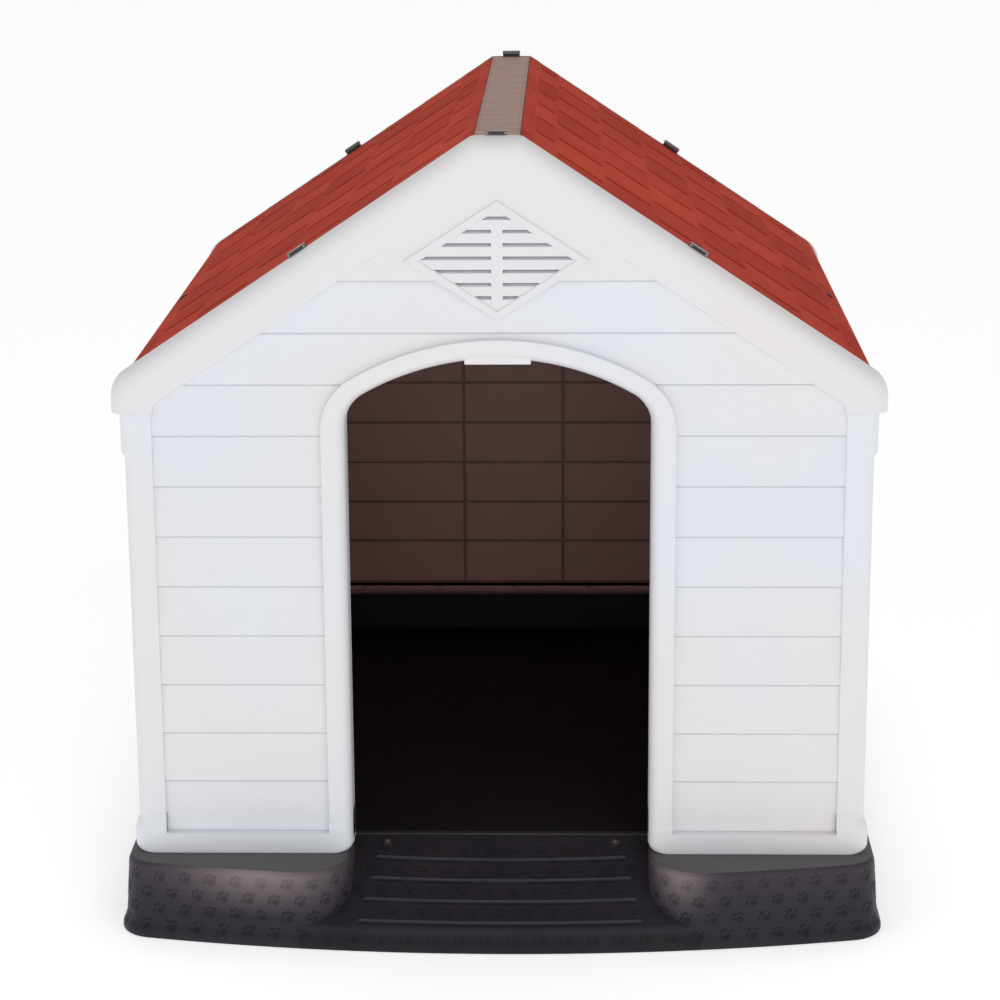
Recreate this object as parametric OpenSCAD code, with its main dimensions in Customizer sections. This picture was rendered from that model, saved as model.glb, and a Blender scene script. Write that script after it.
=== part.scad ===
// Moulded plastic kennel: black base with an entrance ramp, four white
// clapboard walls with a rounded hood over each gable, and a red shingled
// roof in two panels with a ridge cap, held down by eight push-in clips.
// Millimetres, front at -Y, ground at z = 0.

/* [House] */
// Width over the corner posts
post_span = 912; // [900:2:930]
// Distance between the faces of the front and rear walls
house_l = 958; // [900:2:1040]
// Height of the ridge above the ground
ridge_z = 997; // [980:1:1020]
// Roof pitch in degrees
pitch = 33.7; // [33:0.1:34.4]
// Thickness of the moulded sheets
sheet = 4; // [3.5:0.5:4.5]
// Width of a corner post, seen from the front
post_w = 35; // [28:1:40]
// Depth of a corner post along the side of the house
post_d = 46; // [40:1:60]

/* [Siding] */
// Height of one board
board_h = 63.6; // [60:0.1:66]
// Height of the lowest board line
board_z = 192.5; // [188:0.5:198]
// How far the lower edge of a board stands out
board_lap = 3; // [2:0.5:4]

/* [Foot of the walls] */
// Height of the ledge that the walls stand on
ledge_z = 98; // [90:1:102]
// Top of the thicker band round the foot of the walls
foot_top = 147; // [140:1:150]
// How far that band stands out
foot_out = 5; // [3:1:6]

/* [Door] */
// Half the width of the doorway
door_half = 186; // [170:1:190]
// Radius of the shallow arch over the door
arch_r = 330; // [300:5:360]
// Radius of the two upper corners of the doorway
door_corner_r = 45; // [35:1:55]
// Height of the arch above the ground
arch_top = 732; // [700:1:740]
// Width of the rounded frame round the door
door_frame = 30; // [24:1:34]

/* [Gable vent] */
// Height of the centre of the vent
vent_z = 853; // [845:1:858]
// Half width of the vent frame
vent_half_w = 111; // [100:1:115]
// Half height of the vent frame
vent_half_h = 72.5; // [65:0.5:75]
// Vertical spacing of the vent slots
slot_pitch = 16; // [14:1:18]

/* [Hood] */
// Half width over the tips of the hood
hood_half = 472; // [468:1:476]
// Half width over the tips of the rear hood
rear_hood_half = 468; // [462:1:476]
// Radius of the rounded front edge of the hood
hood_round = 22; // [16:1:26]
// Height of the lower tips of the hood
hood_tip_z = 665; // [660:1:670]
// Width of the plain band below the rake
rake_band = 50; // [44:1:54]

/* [Roof] */
// Half the width of the flat ridge cap
ridge_half = 28.5; // [26:0.5:32]
// Half the width over the eaves
roof_half = 461; // [459:1:463]
// Radius that turns the roof down at the eaves
eave_r = 35; // [30:1:40]
// Lower edge of the roof at the eaves
roof_skirt_z = 672; // [670:1:680]
// Length of one shingle along the eaves
shingle_l = 140; // [120:5:160]
// Height of one course up the slope
course_h = 72.5; // [60:0.5:80]
// Width of the grooves between the shingles
groove_w = 4; // [2:0.5:5]
// Depth of those grooves
groove_d = 1.2; // [0.8:0.2:1.6]

/* [Roof clips] */
// Length of a clip
clip_l = 26; // [22:1:30]
// Width of a clip
clip_w = 12; // [10:1:14]
// Height that a clip stands above the roof
clip_h = 8; // [6:1:10]
// Distance from the ridge to the clips on the rakes
clip_reach = 252; // [200:2:300]

/* [Base] */
// Half the width of the base at the ground
base_half = 480; // [476:1:490]
// How far the bowed front stands out from the front wall
bow = 93; // [80:1:100]
// Radius of the bowed front in plan
bow_r = 2150; // [1800:50:2600]
// Radius of the corners of the base in plan
base_corner_r = 45; // [35:1:60]
// How far the base stands out behind the rear wall
base_rear = 15; // [12:1:25]
// Height of the lip at the foot of the ramp
lip_z = 30; // [26:1:36]
// Distance of the sill behind the face of the front wall
sill_in = 60; // [50:1:70]
// Radius of the nose beside the ramp
nose_r = 60; // [50:1:66]

/* [Floor tray] */
// Height of the rim of the tray
tray_top = 155; // [148:1:165]

/* [Hidden] */

gap = 0.3;
post_half = post_span / 2;
post_in = post_half - post_w;
front_y = -(house_l + base_rear - bow) / 2;
rear_y = front_y + house_l;
mid_y = (front_y + rear_y) / 2;
face_in = 5;
skin_y = front_y + face_in;
roof_y0 = front_y + hood_round + gap;
roof_y1 = rear_y - hood_round - gap;
flange_d = 36;
flange_x = 440;
side_flange_w = 54;
inner_y0 = front_y + face_in + sheet + flange_d + 4;
inner_y1 = rear_y - face_in - sheet - flange_d - 4;
board_count = 10;
board_top = board_z + board_h * board_count;
panel_z = 125;
collar_z = 612;
collar_top = hood_tip_z + 3;
hood_rise = 3;
hood_r = 40;
ring_w = 12;
round_steps = 5;
arch_c = arch_top - arch_r;
slope_pitch = tan(pitch);
side_x = post_half - sheet - gap;
side_skin = side_x - board_lap - sheet;
boss_r = 8;
foot_in = 16;
rail_z = tray_top + 2;
rail_h = 16;
inner_drop = 18;
blade_t = 1.6;
blade_l = 9;
rail_d = 18;
rail_cell = 118;
clip_setback = 8;
tongue_l = 16;
tongue_t = 3.4;
tongue_h = 18;
clip_y0 = roof_y0 + clip_setback;
clip_y1 = roof_y1 - clip_setback;
eave_reach = 495;
eave_clip_l = 12;
eave_clip_w = 4;
eave_clip_h = 1.6;
eave_tongue_l = 8;
eave_tongue_t = 1.6;
clip_heel = 4;
clip_reach_out = 2.2;
eave_clip_y = mid_y - 20;
course_count = 7;
first_course = 22;
skirt_draft = 10;
skirt_t = 6;
bow_c = front_y - bow + bow_r;
sill_y = front_y + sill_in;
lip_y = front_y - bow + 8;
ramp_rise = (ledge_z - lip_z) / (sill_y - lip_y);
ramp_angle = atan(ramp_rise);
nose_y = front_y - 6;
rib_t = 4;
rib_h = 3;
rib_count = 4;
rib_pitch = 32;
rib_first = 40;
tray_half = post_half - 30;
tray_y1 = rear_y - 28;
shank_r = 2.1;
head_r = 5;
sill_screw_x = 145;
corner_screw_z = [240, 420, 600];

wall_white = "WhiteSmoke";
roof_red = "Firebrick";
base_black = "DimGray";
clip_black = "Black";

// Points of an arc in n steps
function arc(cx, cy, r, a0, a1, n) = [for (i = [0 : n])
    let (a = a0 + (a1 - a0) * i / n) [cx + r * cos(a), cy + r * sin(a)]];
function reversed(v) = [for (i = [len(v) - 1 : -1 : 0]) v[i]];
function flipped(v) = [for (p = v) [-p[0], p[1]]];

// Gable outline at an offset d from the roof's surface, turned down at
// half width ex with radius r and closed at height zb
function half_gable(d, ex, r, zb) = let (
    cx = ex - r,
    rx = ridge_half + d * tan(pitch / 2),
    cz = ridge_z + d - (cx - rx) * slope_pitch - r / cos(pitch))
    concat([[rx, ridge_z + d]], arc(cx, cz, r, 90 - pitch, 0, 8), [[ex, zb]]);
function gable(d, ex, r, zb) = let (h = half_gable(d, ex, r, zb))
    concat(h, reversed(flipped(h)));
function roof_line(inset, zb) = gable(-inset, roof_half - inset, eave_r - inset, zb);
function hood_line(half, inset, zb) = gable(hood_rise - inset, half - inset, hood_r - inset, zb);
function rake_z(x, inset) = ridge_z - (x - ridge_half) * slope_pitch - inset / cos(pitch);

// Doorway outline, grown by g
function doorway(g, zb) = let (
    j = door_half + g, r = arch_r + 0.85 * g, rc = door_corner_r + g,
    fx = j - rc, fz = arch_c + sqrt(pow(r - rc, 2) - fx * fx),
    a = atan2(fz - arch_c, fx))
    concat([[j, zb]], arc(fx, fz, rc, 0, a, 6), arc(0, arch_c, r, a, 180 - a, 14),
        arc(-fx, fz, rc, 180 - a, 180, 6), [[-j, zb]]);

// Outline of the base in plan, inset from its foot
function base_plan(inset) = let (
    r = bow_r - inset, rc = base_corner_r - inset / 2, sx = base_half - inset,
    fx = sx - rc, fy = bow_c - sqrt(pow(r - rc, 2) - fx * fx),
    a = atan2(fy - bow_c, fx), ry = rear_y + base_rear - inset)
    concat(arc(-fx, fy, rc, -180, -180 - a, 6), arc(0, bow_c, r, -180 - a, a, 20),
        arc(fx, fy, rc, a, 0, 6), arc(fx, ry - rc, rc, 0, 90, 6),
        arc(-fx, ry - rc, rc, 90, 180, 6));

// Plan of the ramp between the noses of the ledge, grown by g
function ramp_plan(g) = let (nx = door_half + 1 + nose_r, r = nose_r - g)
    concat([[nx - r, sill_y + g]], arc(nx, nose_y, r, 180, 270, 8),
        [[nx, front_y - 2 * bow], [-nx, front_y - 2 * bow]],
        arc(-nx, nose_y, r, 270, 360, 8), [[-nx + r, sill_y + g]]);

// Upright shape drawn in X and Z, from y0 to y1
module upright(y0, y1) {
    translate([0, y1, 0]) rotate([90, 0, 0]) linear_extrude(y1 - y0) children();
}

// Shape drawn in Y and Z, from x0 to x1
module crosswise(x0, x1) {
    translate([x0, 0, 0]) rotate([90, 0, 90]) linear_extrude(x1 - x0) children();
}

// Box between two corners
module block(a, b) {
    translate(a) cube(b - a);
}

// Places its children on both sides of the house
module both_sides() {
    children();
    mirror([1, 0, 0]) children();
}

// Clapboard: every board stands out at its lower edge
module board_profile(y, n) {
    polygon(concat([[y + sheet, panel_z], [y, panel_z]],
        [for (i = [0 : n]) let (z0 = i == 0 ? panel_z + 4 : board_z + board_h * (i - 1),
            z1 = board_z + board_h * i)
            each [[y - board_lap, z0], [y - 0.5, z1]]],
        [[y + sheet, board_z + board_h * n]]));
}

// Screw pointing along +Z, its head's underside at z = 0
module screw(length) {
    difference() {
        union() {
            translate([0, 0, -3]) cylinder(h = 3, r = head_r, $fn = 32);
            translate([0, 0, -0.5]) cylinder(h = length + 0.5, r = shank_r, $fn = 24);
        }
        for (a = [0, 90])
            rotate([0, 0, a]) translate([-3, -0.6, -3.1]) cube([6, 1.2, 1.7]);
    }
}

// Puts a child on the roof: side is -1, 0 or 1, reach is measured down the slope
module on_roof(side, reach, y) {
    x = side * (ridge_half + reach * cos(pitch));
    z = ridge_z - (side == 0 ? 0 : reach * sin(pitch));
    translate([side == 0 ? 0 : x, y, z]) rotate([0, side * pitch, 0]) children();
}

// Slots that the clips' tongues pass, larger than the tongue by slack
module clip_slots(slack, slack_long) {
    l = tongue_l + 2 * slack_long;
    t = tongue_t + 2 * slack;
    for (y = [clip_y0, clip_y1])
        for (side = [-1, 0, 1])
            on_roof(side, clip_reach, y) translate([-l / 2, -t / 2, -24]) cube([l, t, 34]);
    el = eave_tongue_l + 2 * slack_long;
    et = eave_tongue_t + 2 * slack;
    for (side = [-1, 1])
        on_roof(side, eave_reach, eave_clip_y) translate([-el / 2, -et / 2, -24]) cube([el, et, 34]);
}

// Rounded hood over a gable, drawn for the front wall
module hood(half) {
    for (i = [0 : round_steps - 1]) {
        a0 = 90 * i / round_steps;
        a1 = 90 * (i + 1) / round_steps;
        y0 = front_y + hood_round * (1 - sin(a1));
        y1 = front_y + hood_round * (1 - sin(a0));
        inset = hood_round * (1 - cos((a0 + a1) / 2));
        upright(y0, y1) difference() {
            polygon(hood_line(half, inset, hood_tip_z));
            if (i < 2) polygon(hood_line(half, inset + ring_w, hood_tip_z - 1));
            else polygon([[-post_in, 0], [post_in, 0], [post_in, rake_z(post_in, rake_band)],
                [vent_half_w, rake_z(vent_half_w, rake_band)],
                [-vent_half_w, rake_z(vent_half_w, rake_band)],
                [-post_in, rake_z(post_in, rake_band)]]);
        }
    }
}

// Ledge under the roof, which the roof panels lie on
module roof_flange() {
    difference() {
        upright(skin_y + sheet, skin_y + sheet + flange_d) intersection() {
            difference() {
                polygon(roof_line(sheet + gap, 0));
                polygon(roof_line(2 * sheet + gap, -1));
            }
            translate([-flange_x, collar_z]) square([2 * flange_x, ridge_z - collar_z]);
        }
        clip_slots(1.8, 10);
    }
}

// Corner post with its collar and foot, on the right of the front wall
module post() {
    y1 = front_y + post_d;
    block([post_in, front_y, ledge_z], [post_half, front_y + sheet, hood_tip_z + 10]);
    block([post_half - sheet, front_y, ledge_z], [post_half, y1, 690]);
    block([post_in, front_y, ledge_z], [post_in + sheet, skin_y + sheet, hood_tip_z + 10]);
    block([post_half - 1, front_y + 2, collar_z], [post_half + 5, y1, collar_top]);
    block([post_half - 1, front_y - foot_out + 1, ledge_z], [post_half + foot_out, y1, foot_top]);
    for (z = corner_screw_z)
        translate([side_skin + sheet + 0.2, front_y + post_d - 14, z]) rotate([0, 90, 0])
            cylinder(h = post_half - 1 - side_skin - sheet, r = 7, $fn = 32);
}

// Foot of the front wall beside the door, with rounded lower corners
module foot(x0, x1) {
    r = 14;
    upright(front_y - foot_out + 1, skin_y + sheet) {
        translate([x0, ledge_z + r]) square([x1 - x0, foot_top - ledge_z - r]);
        translate([x0 + r, ledge_z]) square([x1 - x0 - 2 * r, foot_top - ledge_z]);
        for (x = [x0 + r, x1 - r]) translate([x, ledge_z + r]) circle(r = r, $fn = 48);
    }
}

// Diamond vent frame, w and h are its half width and half height
module diamond(w, h) {
    polygon([[0, vent_z + h], [w, vent_z], [0, vent_z - h], [-w, vent_z]]);
}

module vent_slots() {
    for (i = [0 : 7]) {
        z = vent_z + 51 - slot_pitch * i;
        upright(front_y - 5, skin_y + sheet + 5) intersection() {
            diamond(vent_half_w - 17, vent_half_h - 11);
            union() {
                if (i == 0) translate([-40, z - 2.5]) square([80, 5]);
                else for (s = [0, 1]) mirror([s, 0]) translate([7, z - 2.5]) square([100, 5]);
            }
        }
    }
}

// Sloping blades behind the slots
module vent_blades() {
    y = skin_y + sheet - 1;
    for (i = [0 : 7]) {
        z = vent_z + 51 - slot_pitch * i;
        x = (vent_half_w - 19) * (1 - abs(z - vent_z) / (vent_half_h - 12)) + 2;
        crosswise(-x, x) polygon([[y, z - 3], [y, z - 3 - blade_t],
            [y + blade_l, z + 4], [y + blade_l, z + 4 + blade_t]]);
    }
}

// Part of a gable that the boards cover, below the plain band along the rake
module board_field() {
    inset = rake_band - 2;
    top_x = ridge_half + (ridge_z - board_top - inset / cos(pitch)) / slope_pitch;
    x = post_in + 1;
    polygon([[-x, 0], [x, 0], [x, rake_z(x, inset)], [top_x, board_top],
        [-top_x, board_top], [-x, rake_z(x, inset)]]);
}

// Everything that the front and rear walls share, drawn at the front
module gable_wall(half) {
    difference() {
        union() {
            upright(skin_y, skin_y + sheet) polygon(gable(-10, post_half - 1, 27, ledge_z));
            intersection() {
                crosswise(-post_in, post_in) board_profile(skin_y, board_count);
                upright(front_y - 5, skin_y + sheet) board_field();
            }
            hood(half);
            roof_flange();
            both_sides() post();
            upright(front_y - 2, skin_y + sheet) diamond(vent_half_w, vent_half_h);
        }
        vent_slots();
        both_sides() for (z = corner_screw_z)
            translate([side_skin, front_y + post_d - 14, z]) rotate([0, 90, 0])
                cylinder(h = post_half - 1.5 - side_skin, r = shank_r + 0.1, $fn = 24);
    }
    vent_blades();
}

// Screw boss standing on the ledge
module foot_boss(x, y) {
    translate([x, y, ledge_z]) difference() {
        cylinder(h = 44, r = boss_r, $fn = 32);
        translate([0, 0, -1]) cylinder(h = 34, r = shank_r + 0.1, $fn = 24);
    }
}

module front_wall() {
    color(wall_white) {
        difference() {
            union() {
                gable_wall(hood_half);
                both_sides() foot(door_half, post_half + foot_out);
                upright(front_y - foot_out + 1, front_y + 40) difference() {
                    polygon(doorway(sheet + 1, ledge_z + 20));
                    polygon(doorway(0, 0));
                }
                upright(front_y - foot_out + 1, skin_y + sheet) difference() {
                    polygon(doorway(door_frame, ledge_z + 20));
                    polygon(doorway(0, 0));
                }
            }
            upright(front_y - 20, front_y + 60) polygon(doorway(0, 0));
        }
        block([-40, front_y - foot_out + 1, arch_top - 7], [40, skin_y, arch_top]);
        both_sides() for (x = [250, 400]) foot_boss(x, front_y + foot_in);
    }
}

module rear_wall() {
    color(wall_white) {
        translate([0, front_y + rear_y, 0]) mirror([0, 1, 0]) {
            gable_wall(rear_hood_half);
            foot(-post_half - foot_out, post_half + foot_out);
            // Upright ribs and board lines on the inner face
            for (x = [-77, 77])
                block([x - 3, skin_y + sheet - 1, rail_z + rail_h], [x + 3, skin_y + sheet + 3, 700]);
            for (i = [1 : board_count]) {
                z = board_z + board_h * i - inner_drop;
                x = min(post_in - 10, ridge_half + (ridge_z - z - 20) / slope_pitch - 20);
                block([-x, skin_y + sheet - 1, z - 1.5], [x, skin_y + sheet + 2, z + 1.5]);
            }
            inner_rail(2 * tray_half - 20, skin_y + sheet);
            for (x = [-400, -250, 250, 400]) foot_boss(x, front_y + foot_in);
        }
    }
}

// Rail on the inner face of a wall, above the rim of the floor tray
module inner_rail(length, y) {
    cells = floor(length / rail_cell / 2);
    block([-length / 2, y - 1, rail_z + rail_h - 4], [length / 2, y + rail_d, rail_z + rail_h]);
    block([-length / 2, y + rail_d - 3, rail_z + 6], [length / 2, y + rail_d, rail_z + rail_h]);
    for (i = [-cells : cells])
        block([i * rail_cell - 1.5, y - 1, rail_z], [i * rail_cell + 1.5, y + rail_d, rail_z + rail_h]);
}

// Side wall, drawn for the right side
module side_wall() {
    skin = side_skin;
    length = inner_y1 - inner_y0;
    difference() {
        union() {
            block([skin, front_y + 12, ledge_z], [skin + sheet, rear_y - 12, 700]);
            intersection() {
                translate([0, mid_y, 0]) rotate([0, 0, 90]) translate([0, -2 * skin - sheet, 0])
                    crosswise(-house_l / 2, house_l / 2) board_profile(skin, 8);
                block([skin, front_y + post_d + gap, panel_z], [side_x, rear_y - post_d - gap, 690]);
            }
            block([skin, front_y + post_d + gap, ledge_z],
                [side_x + foot_out, rear_y - post_d - gap, foot_top]);
            upright(inner_y0, inner_y1) {
                intersection() {
                    difference() {
                        polygon(roof_line(sheet + gap, 0));
                        polygon(roof_line(2 * sheet + gap, -1));
                    }
                    translate([skin + sheet - side_flange_w, collar_z])
                        square([side_flange_w, ridge_z - collar_z]);
                }
                translate([skin, 690]) square([sheet, 18]);
            }
            translate([0, mid_y, 0]) rotate([0, 0, 90])
                inner_rail(length - 20, -skin);
            for (y = [mid_y - 250, mid_y + 250]) foot_boss(skin - 7, y);
        }
        clip_slots(1.8, 10);
        for (y = [front_y + post_d - 14, rear_y - post_d + 14], z = corner_screw_z)
            translate([skin - 1, y, z]) rotate([0, 90, 0])
                cylinder(h = sheet + 2, r = shank_r + 0.4, $fn = 24);
    }
}

module left_wall() {
    color(wall_white) mirror([1, 0, 0]) side_wall();
}

module right_wall() {
    color(wall_white) side_wall();
}

// Roof panel, drawn for the right side
module roof_panel() {
    x0 = ridge_half + gap;
    difference() {
        union() {
            upright(roof_y0, roof_y1) intersection() {
                difference() {
                    polygon(roof_line(0, roof_skirt_z));
                    polygon(roof_line(sheet, roof_skirt_z - 1));
                }
                translate([x0, 600]) square([500, 450]);
            }
            upright(inner_y0, inner_y1)
                polygon([[x0, ridge_z - 20], [x0 + sheet, ridge_z - 20],
                    [x0 + sheet, rake_z(x0 + sheet, sheet / 2)], [x0, rake_z(x0, sheet / 2)]]);
        }
        shingle_grooves();
        clip_slots(1, 1.2);
    }
}

// Grooves between the shingles, half a shingle apart from course to course
module shingle_grooves() {
    count = floor((roof_y1 - roof_y0) / shingle_l);
    for (c = [0 : course_count - 1]) {
        s0 = c == 0 ? first_course : first_course + 30 + course_h * (c - 1);
        s1 = first_course + 30 + course_h * c - groove_w;
        shift = c % 2 == 0 ? 0.25 : 0.75;
        for (i = [0 : count - 1])
            on_roof(1, s0, roof_y0 + shingle_l * (i + shift))
                translate([0, -groove_w / 2, -groove_d])
                    cube([min(s1, eave_reach - 30) - s0, groove_w, groove_d + 1]);
    }
}

module left_roof() {
    color(roof_red) mirror([1, 0, 0]) roof_panel();
}

module right_roof() {
    color(roof_red) roof_panel();
}

module ridge_cap() {
    color("RosyBrown") difference() {
        union() {
            block([-ridge_half, roof_y0, ridge_z - sheet], [ridge_half, roof_y1, ridge_z]);
            both_sides() {
                block([22, inner_y0, ridge_z - 24], [26, inner_y1, ridge_z - sheet + 1]);
                block([22, inner_y0, ridge_z - 24], [31, inner_y1, ridge_z - 21]);
            }
        }
        clip_slots(1, 1.2);
    }
}

// Push-in clip, drawn for the front: a cap that reaches over the hood, a heel
// that stands on the roof, and a tongue through it
module clip() {
    lift = 0.2;
    y0 = -clip_setback - gap - clip_reach_out;
    y1 = y0 + clip_w;
    difference() {
        block([-clip_l / 2, y0, hood_rise + 0.3], [clip_l / 2, y1, clip_h]);
        block([-clip_l / 2 + 3, y0 - 1, hood_rise + 1.5], [clip_l / 2 - 3, y0 + 1.2, clip_h - 1.2]);
    }
    block([-clip_l / 2, 1 - clip_setback, lift], [clip_l / 2, y1, clip_heel]);
    block([-tongue_l / 2, -tongue_t / 2, -tongue_h], [tongue_l / 2, tongue_t / 2, lift + 1]);
}

// Front clips reach over the front hood, rear clips over the rear one
module rake_clip(side, y) {
    color(clip_black) on_roof(side, clip_reach, y) mirror([0, y > mid_y ? 1 : 0, 0]) clip();
}

// Small flat clip near the eaves
module eave_clip(side) {
    lift = 0.2;
    color(clip_black) on_roof(side, eave_reach, eave_clip_y) {
        block([-eave_clip_l / 2, -eave_clip_w / 2, lift], [eave_clip_l / 2, eave_clip_w / 2, eave_clip_h]);
        block([-eave_tongue_l / 2, -eave_tongue_t / 2, -tongue_h],
            [eave_tongue_l / 2, eave_tongue_t / 2, lift + 1]);
    }
}

// One ring of the skirt, leaving the foot of the ramp open above the lip
module skirt(z0, z1, inset) {
    translate([0, 0, z0]) linear_extrude(z1 - z0) difference() {
        polygon(base_plan(inset));
        polygon(base_plan(inset + skirt_t));
        if (z0 >= lip_z) polygon(ramp_plan(0));
    }
}

// Solid wedge under the ramp's surface, raised by h
module ramp_wedge(h) {
    crosswise(-300, 300)
        polygon([[lip_y - 2, lip_z - sheet], [lip_y, lip_z + h], [sill_y, ledge_z + h],
            [sill_y + 4, ledge_z + h], [sill_y + 4, ledge_z - sheet], [lip_y + 12, lip_z - sheet]]);
}

module base() {
    color(base_black) difference() {
        union() {
            skirt(0, 10, 0);
            skirt(10, lip_z, skirt_draft * 0.4);
            skirt(lip_z, 64, skirt_draft * 0.7);
            skirt(64, ledge_z, skirt_draft);
            translate([0, 0, ledge_z - sheet]) linear_extrude(sheet) difference() {
                polygon(base_plan(skirt_draft));
                polygon(ramp_plan(0));
            }
            // Walls beside the ramp, and the ramp itself
            translate([0, 0, lip_z - sheet]) linear_extrude(ledge_z - lip_z + sheet) intersection() {
                polygon(base_plan(skirt_draft * 0.7));
                difference() {
                    polygon(ramp_plan(sheet));
                    polygon(ramp_plan(0));
                    translate([-400, lip_y - 100]) square([800, nose_y - nose_r + 14 - lip_y + 86]);
                    translate([-door_half - 1, sill_y - 20]) square([2 * door_half + 2, 40]);
                }
            }
            intersection() {
                linear_extrude(ledge_z) intersection() {
                    polygon(ramp_plan(sheet));
                    polygon(base_plan(skirt_draft * 0.4));
                }
                difference() {
                    ramp_wedge(0);
                    translate([0, 0, -sheet - 1]) ramp_wedge(0);
                }
            }
            ramp_ribs();
            for (s = [-1, 1])
                translate([s * sill_screw_x, sill_y - 14, ledge_z - 14 * ramp_rise])
                    rotate([ramp_angle, 0, 0]) translate([0, 0, -16]) cylinder(h = 14, r = 7, $fn = 32);
        }
        sill_screw_places() translate([0, 0, -3.2]) cylinder(h = 10, r = head_r + 0.5, $fn = 32);
        sill_screw_places() translate([0, 0, -14]) cylinder(h = 20, r = shank_r + 0.1, $fn = 24);
        foot_screw_places() translate([0, 0, -1]) cylinder(h = sheet + 2, r = shank_r + 0.4, $fn = 24);
    }
}

// Bowed grip ribs across the ramp
module ramp_ribs() {
    for (i = [0 : rib_count - 1]) {
        r = bow_r - (bow + sill_in) + rib_first + rib_pitch * i;
        x = 158 + 6 * i;
        intersection() {
            translate([0, bow_c, 0]) difference() {
                cylinder(h = 150, r = r + rib_t / 2, $fn = 200);
                translate([0, 0, -1]) cylinder(h = 152, r = r - rib_t / 2, $fn = 200);
            }
            difference() {
                ramp_wedge(rib_h);
                translate([0, 0, -rib_h - 2]) ramp_wedge(rib_h);
            }
            block([-x, lip_y, 0], [x, sill_y, 150]);
        }
    }
}

// Both screws through the head of the ramp, square to its surface
module sill_screw_places() {
    for (s = [-1, 1])
        translate([s * sill_screw_x, sill_y - 14, ledge_z - 14 * ramp_rise])
            rotate([ramp_angle, 0, 0]) children();
}

// Screws through the deck into the feet of the walls, from below
module foot_screw_places() {
    for (s = [-1, 1]) {
        for (x = [250, 400], y = [front_y + foot_in, rear_y - foot_in])
            translate([s * x, y, ledge_z - sheet]) children();
        for (y = [mid_y - 250, mid_y + 250])
            translate([s * (side_skin - 7), y, ledge_z - sheet]) children();
    }
}

module floor_tray() {
    y0 = sill_y + 5;
    color("DarkSlateGray") {
        block([-tray_half, y0, ledge_z], [tray_half, tray_y1, ledge_z + 3]);
        block([-tray_half, tray_y1 - 3, ledge_z], [tray_half, tray_y1, tray_top]);
        both_sides() {
            block([tray_half - 3, y0, ledge_z], [tray_half, tray_y1, tray_top]);
            block([door_half + 6, y0, ledge_z], [tray_half, y0 + 3, tray_top]);
        }
    }
}

module sill_screws() {
    color("Silver") sill_screw_places() mirror([0, 0, 1]) screw(11);
}

module foot_screws() {
    color("Silver") foot_screw_places() translate([0, 0, -gap / 3]) screw(26);
}

module corner_screws() {
    color("Silver") both_sides()
        for (y = [front_y + post_d - 14, rear_y - post_d + 14], z = corner_screw_z)
            translate([side_skin - 0.1, y, z]) rotate([0, 90, 0]) screw(9);
}

base();
floor_tray();
front_wall();
rear_wall();
left_wall();
right_wall();
left_roof();
right_roof();
ridge_cap();
rake_clip(0, clip_y0);  // front_ridge_clip
rake_clip(0, clip_y1);  // rear_ridge_clip
rake_clip(-1, clip_y0);  // front_left_clip
rake_clip(1, clip_y0);  // front_right_clip
rake_clip(-1, clip_y1);  // rear_left_clip
rake_clip(1, clip_y1);  // rear_right_clip
eave_clip(-1);  // left_eave_clip
eave_clip(1);  // right_eave_clip
sill_screws();
foot_screws();
corner_screws();
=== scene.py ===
import math

import bmesh
import bpy
import numpy as np
from mathutils import Euler, Matrix, Vector


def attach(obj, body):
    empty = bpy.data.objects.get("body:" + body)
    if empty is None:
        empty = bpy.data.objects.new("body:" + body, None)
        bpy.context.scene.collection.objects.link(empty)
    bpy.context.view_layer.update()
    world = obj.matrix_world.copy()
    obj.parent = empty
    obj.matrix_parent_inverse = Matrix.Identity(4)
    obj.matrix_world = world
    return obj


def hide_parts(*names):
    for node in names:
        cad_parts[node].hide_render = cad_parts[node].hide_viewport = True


# Moulded plastic kennel in millimetres, front at -Y, ground at z = 0.
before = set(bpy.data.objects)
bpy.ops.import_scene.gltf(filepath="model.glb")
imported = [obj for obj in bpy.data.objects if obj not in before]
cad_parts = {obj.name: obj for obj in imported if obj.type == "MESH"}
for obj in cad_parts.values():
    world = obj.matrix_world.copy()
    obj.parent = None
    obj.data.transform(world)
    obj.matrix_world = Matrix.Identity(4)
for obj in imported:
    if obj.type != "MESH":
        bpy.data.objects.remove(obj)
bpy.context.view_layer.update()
mm = 0.001

house = {
    "postHalf": 456.0,
    "postWidth": 35.0,
    "postDepth": 46.0,
    "postCorner": 11.0,
    "wallTop": 700.0,
    "frontY": -440.0,
    "rearY": 518.0,
    "sheet": 4.0,
    "recess": 5.0,
    "panelBottom": 125.0,
    "footTop": 147.0,
    "footOut": 5.0,
    "ledge": 98.0,
}
roof = {
    "pitch": math.radians(33.7),
    "ridge": 997.0,
    "ridgeHalf": 28.5,
    "half": 461.0,
    "eaveRadius": 35.0,
    "skirt": 672.0,
    "front": -417.7,
    "rear": 495.7,
}
skinY = house["frontY"] + house["recess"]
postInner = house["postHalf"] - house["postWidth"]
midY = (house["frontY"] + house["rearY"]) / 2
clearance = 0.3  # between neighbouring pieces
innerFront = skinY + 44  # where the ledges inside the gables end
innerRear = 2 * midY - innerFront
quarterTurn = [math.radians(k * 11.25) for k in range(9)]


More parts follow.
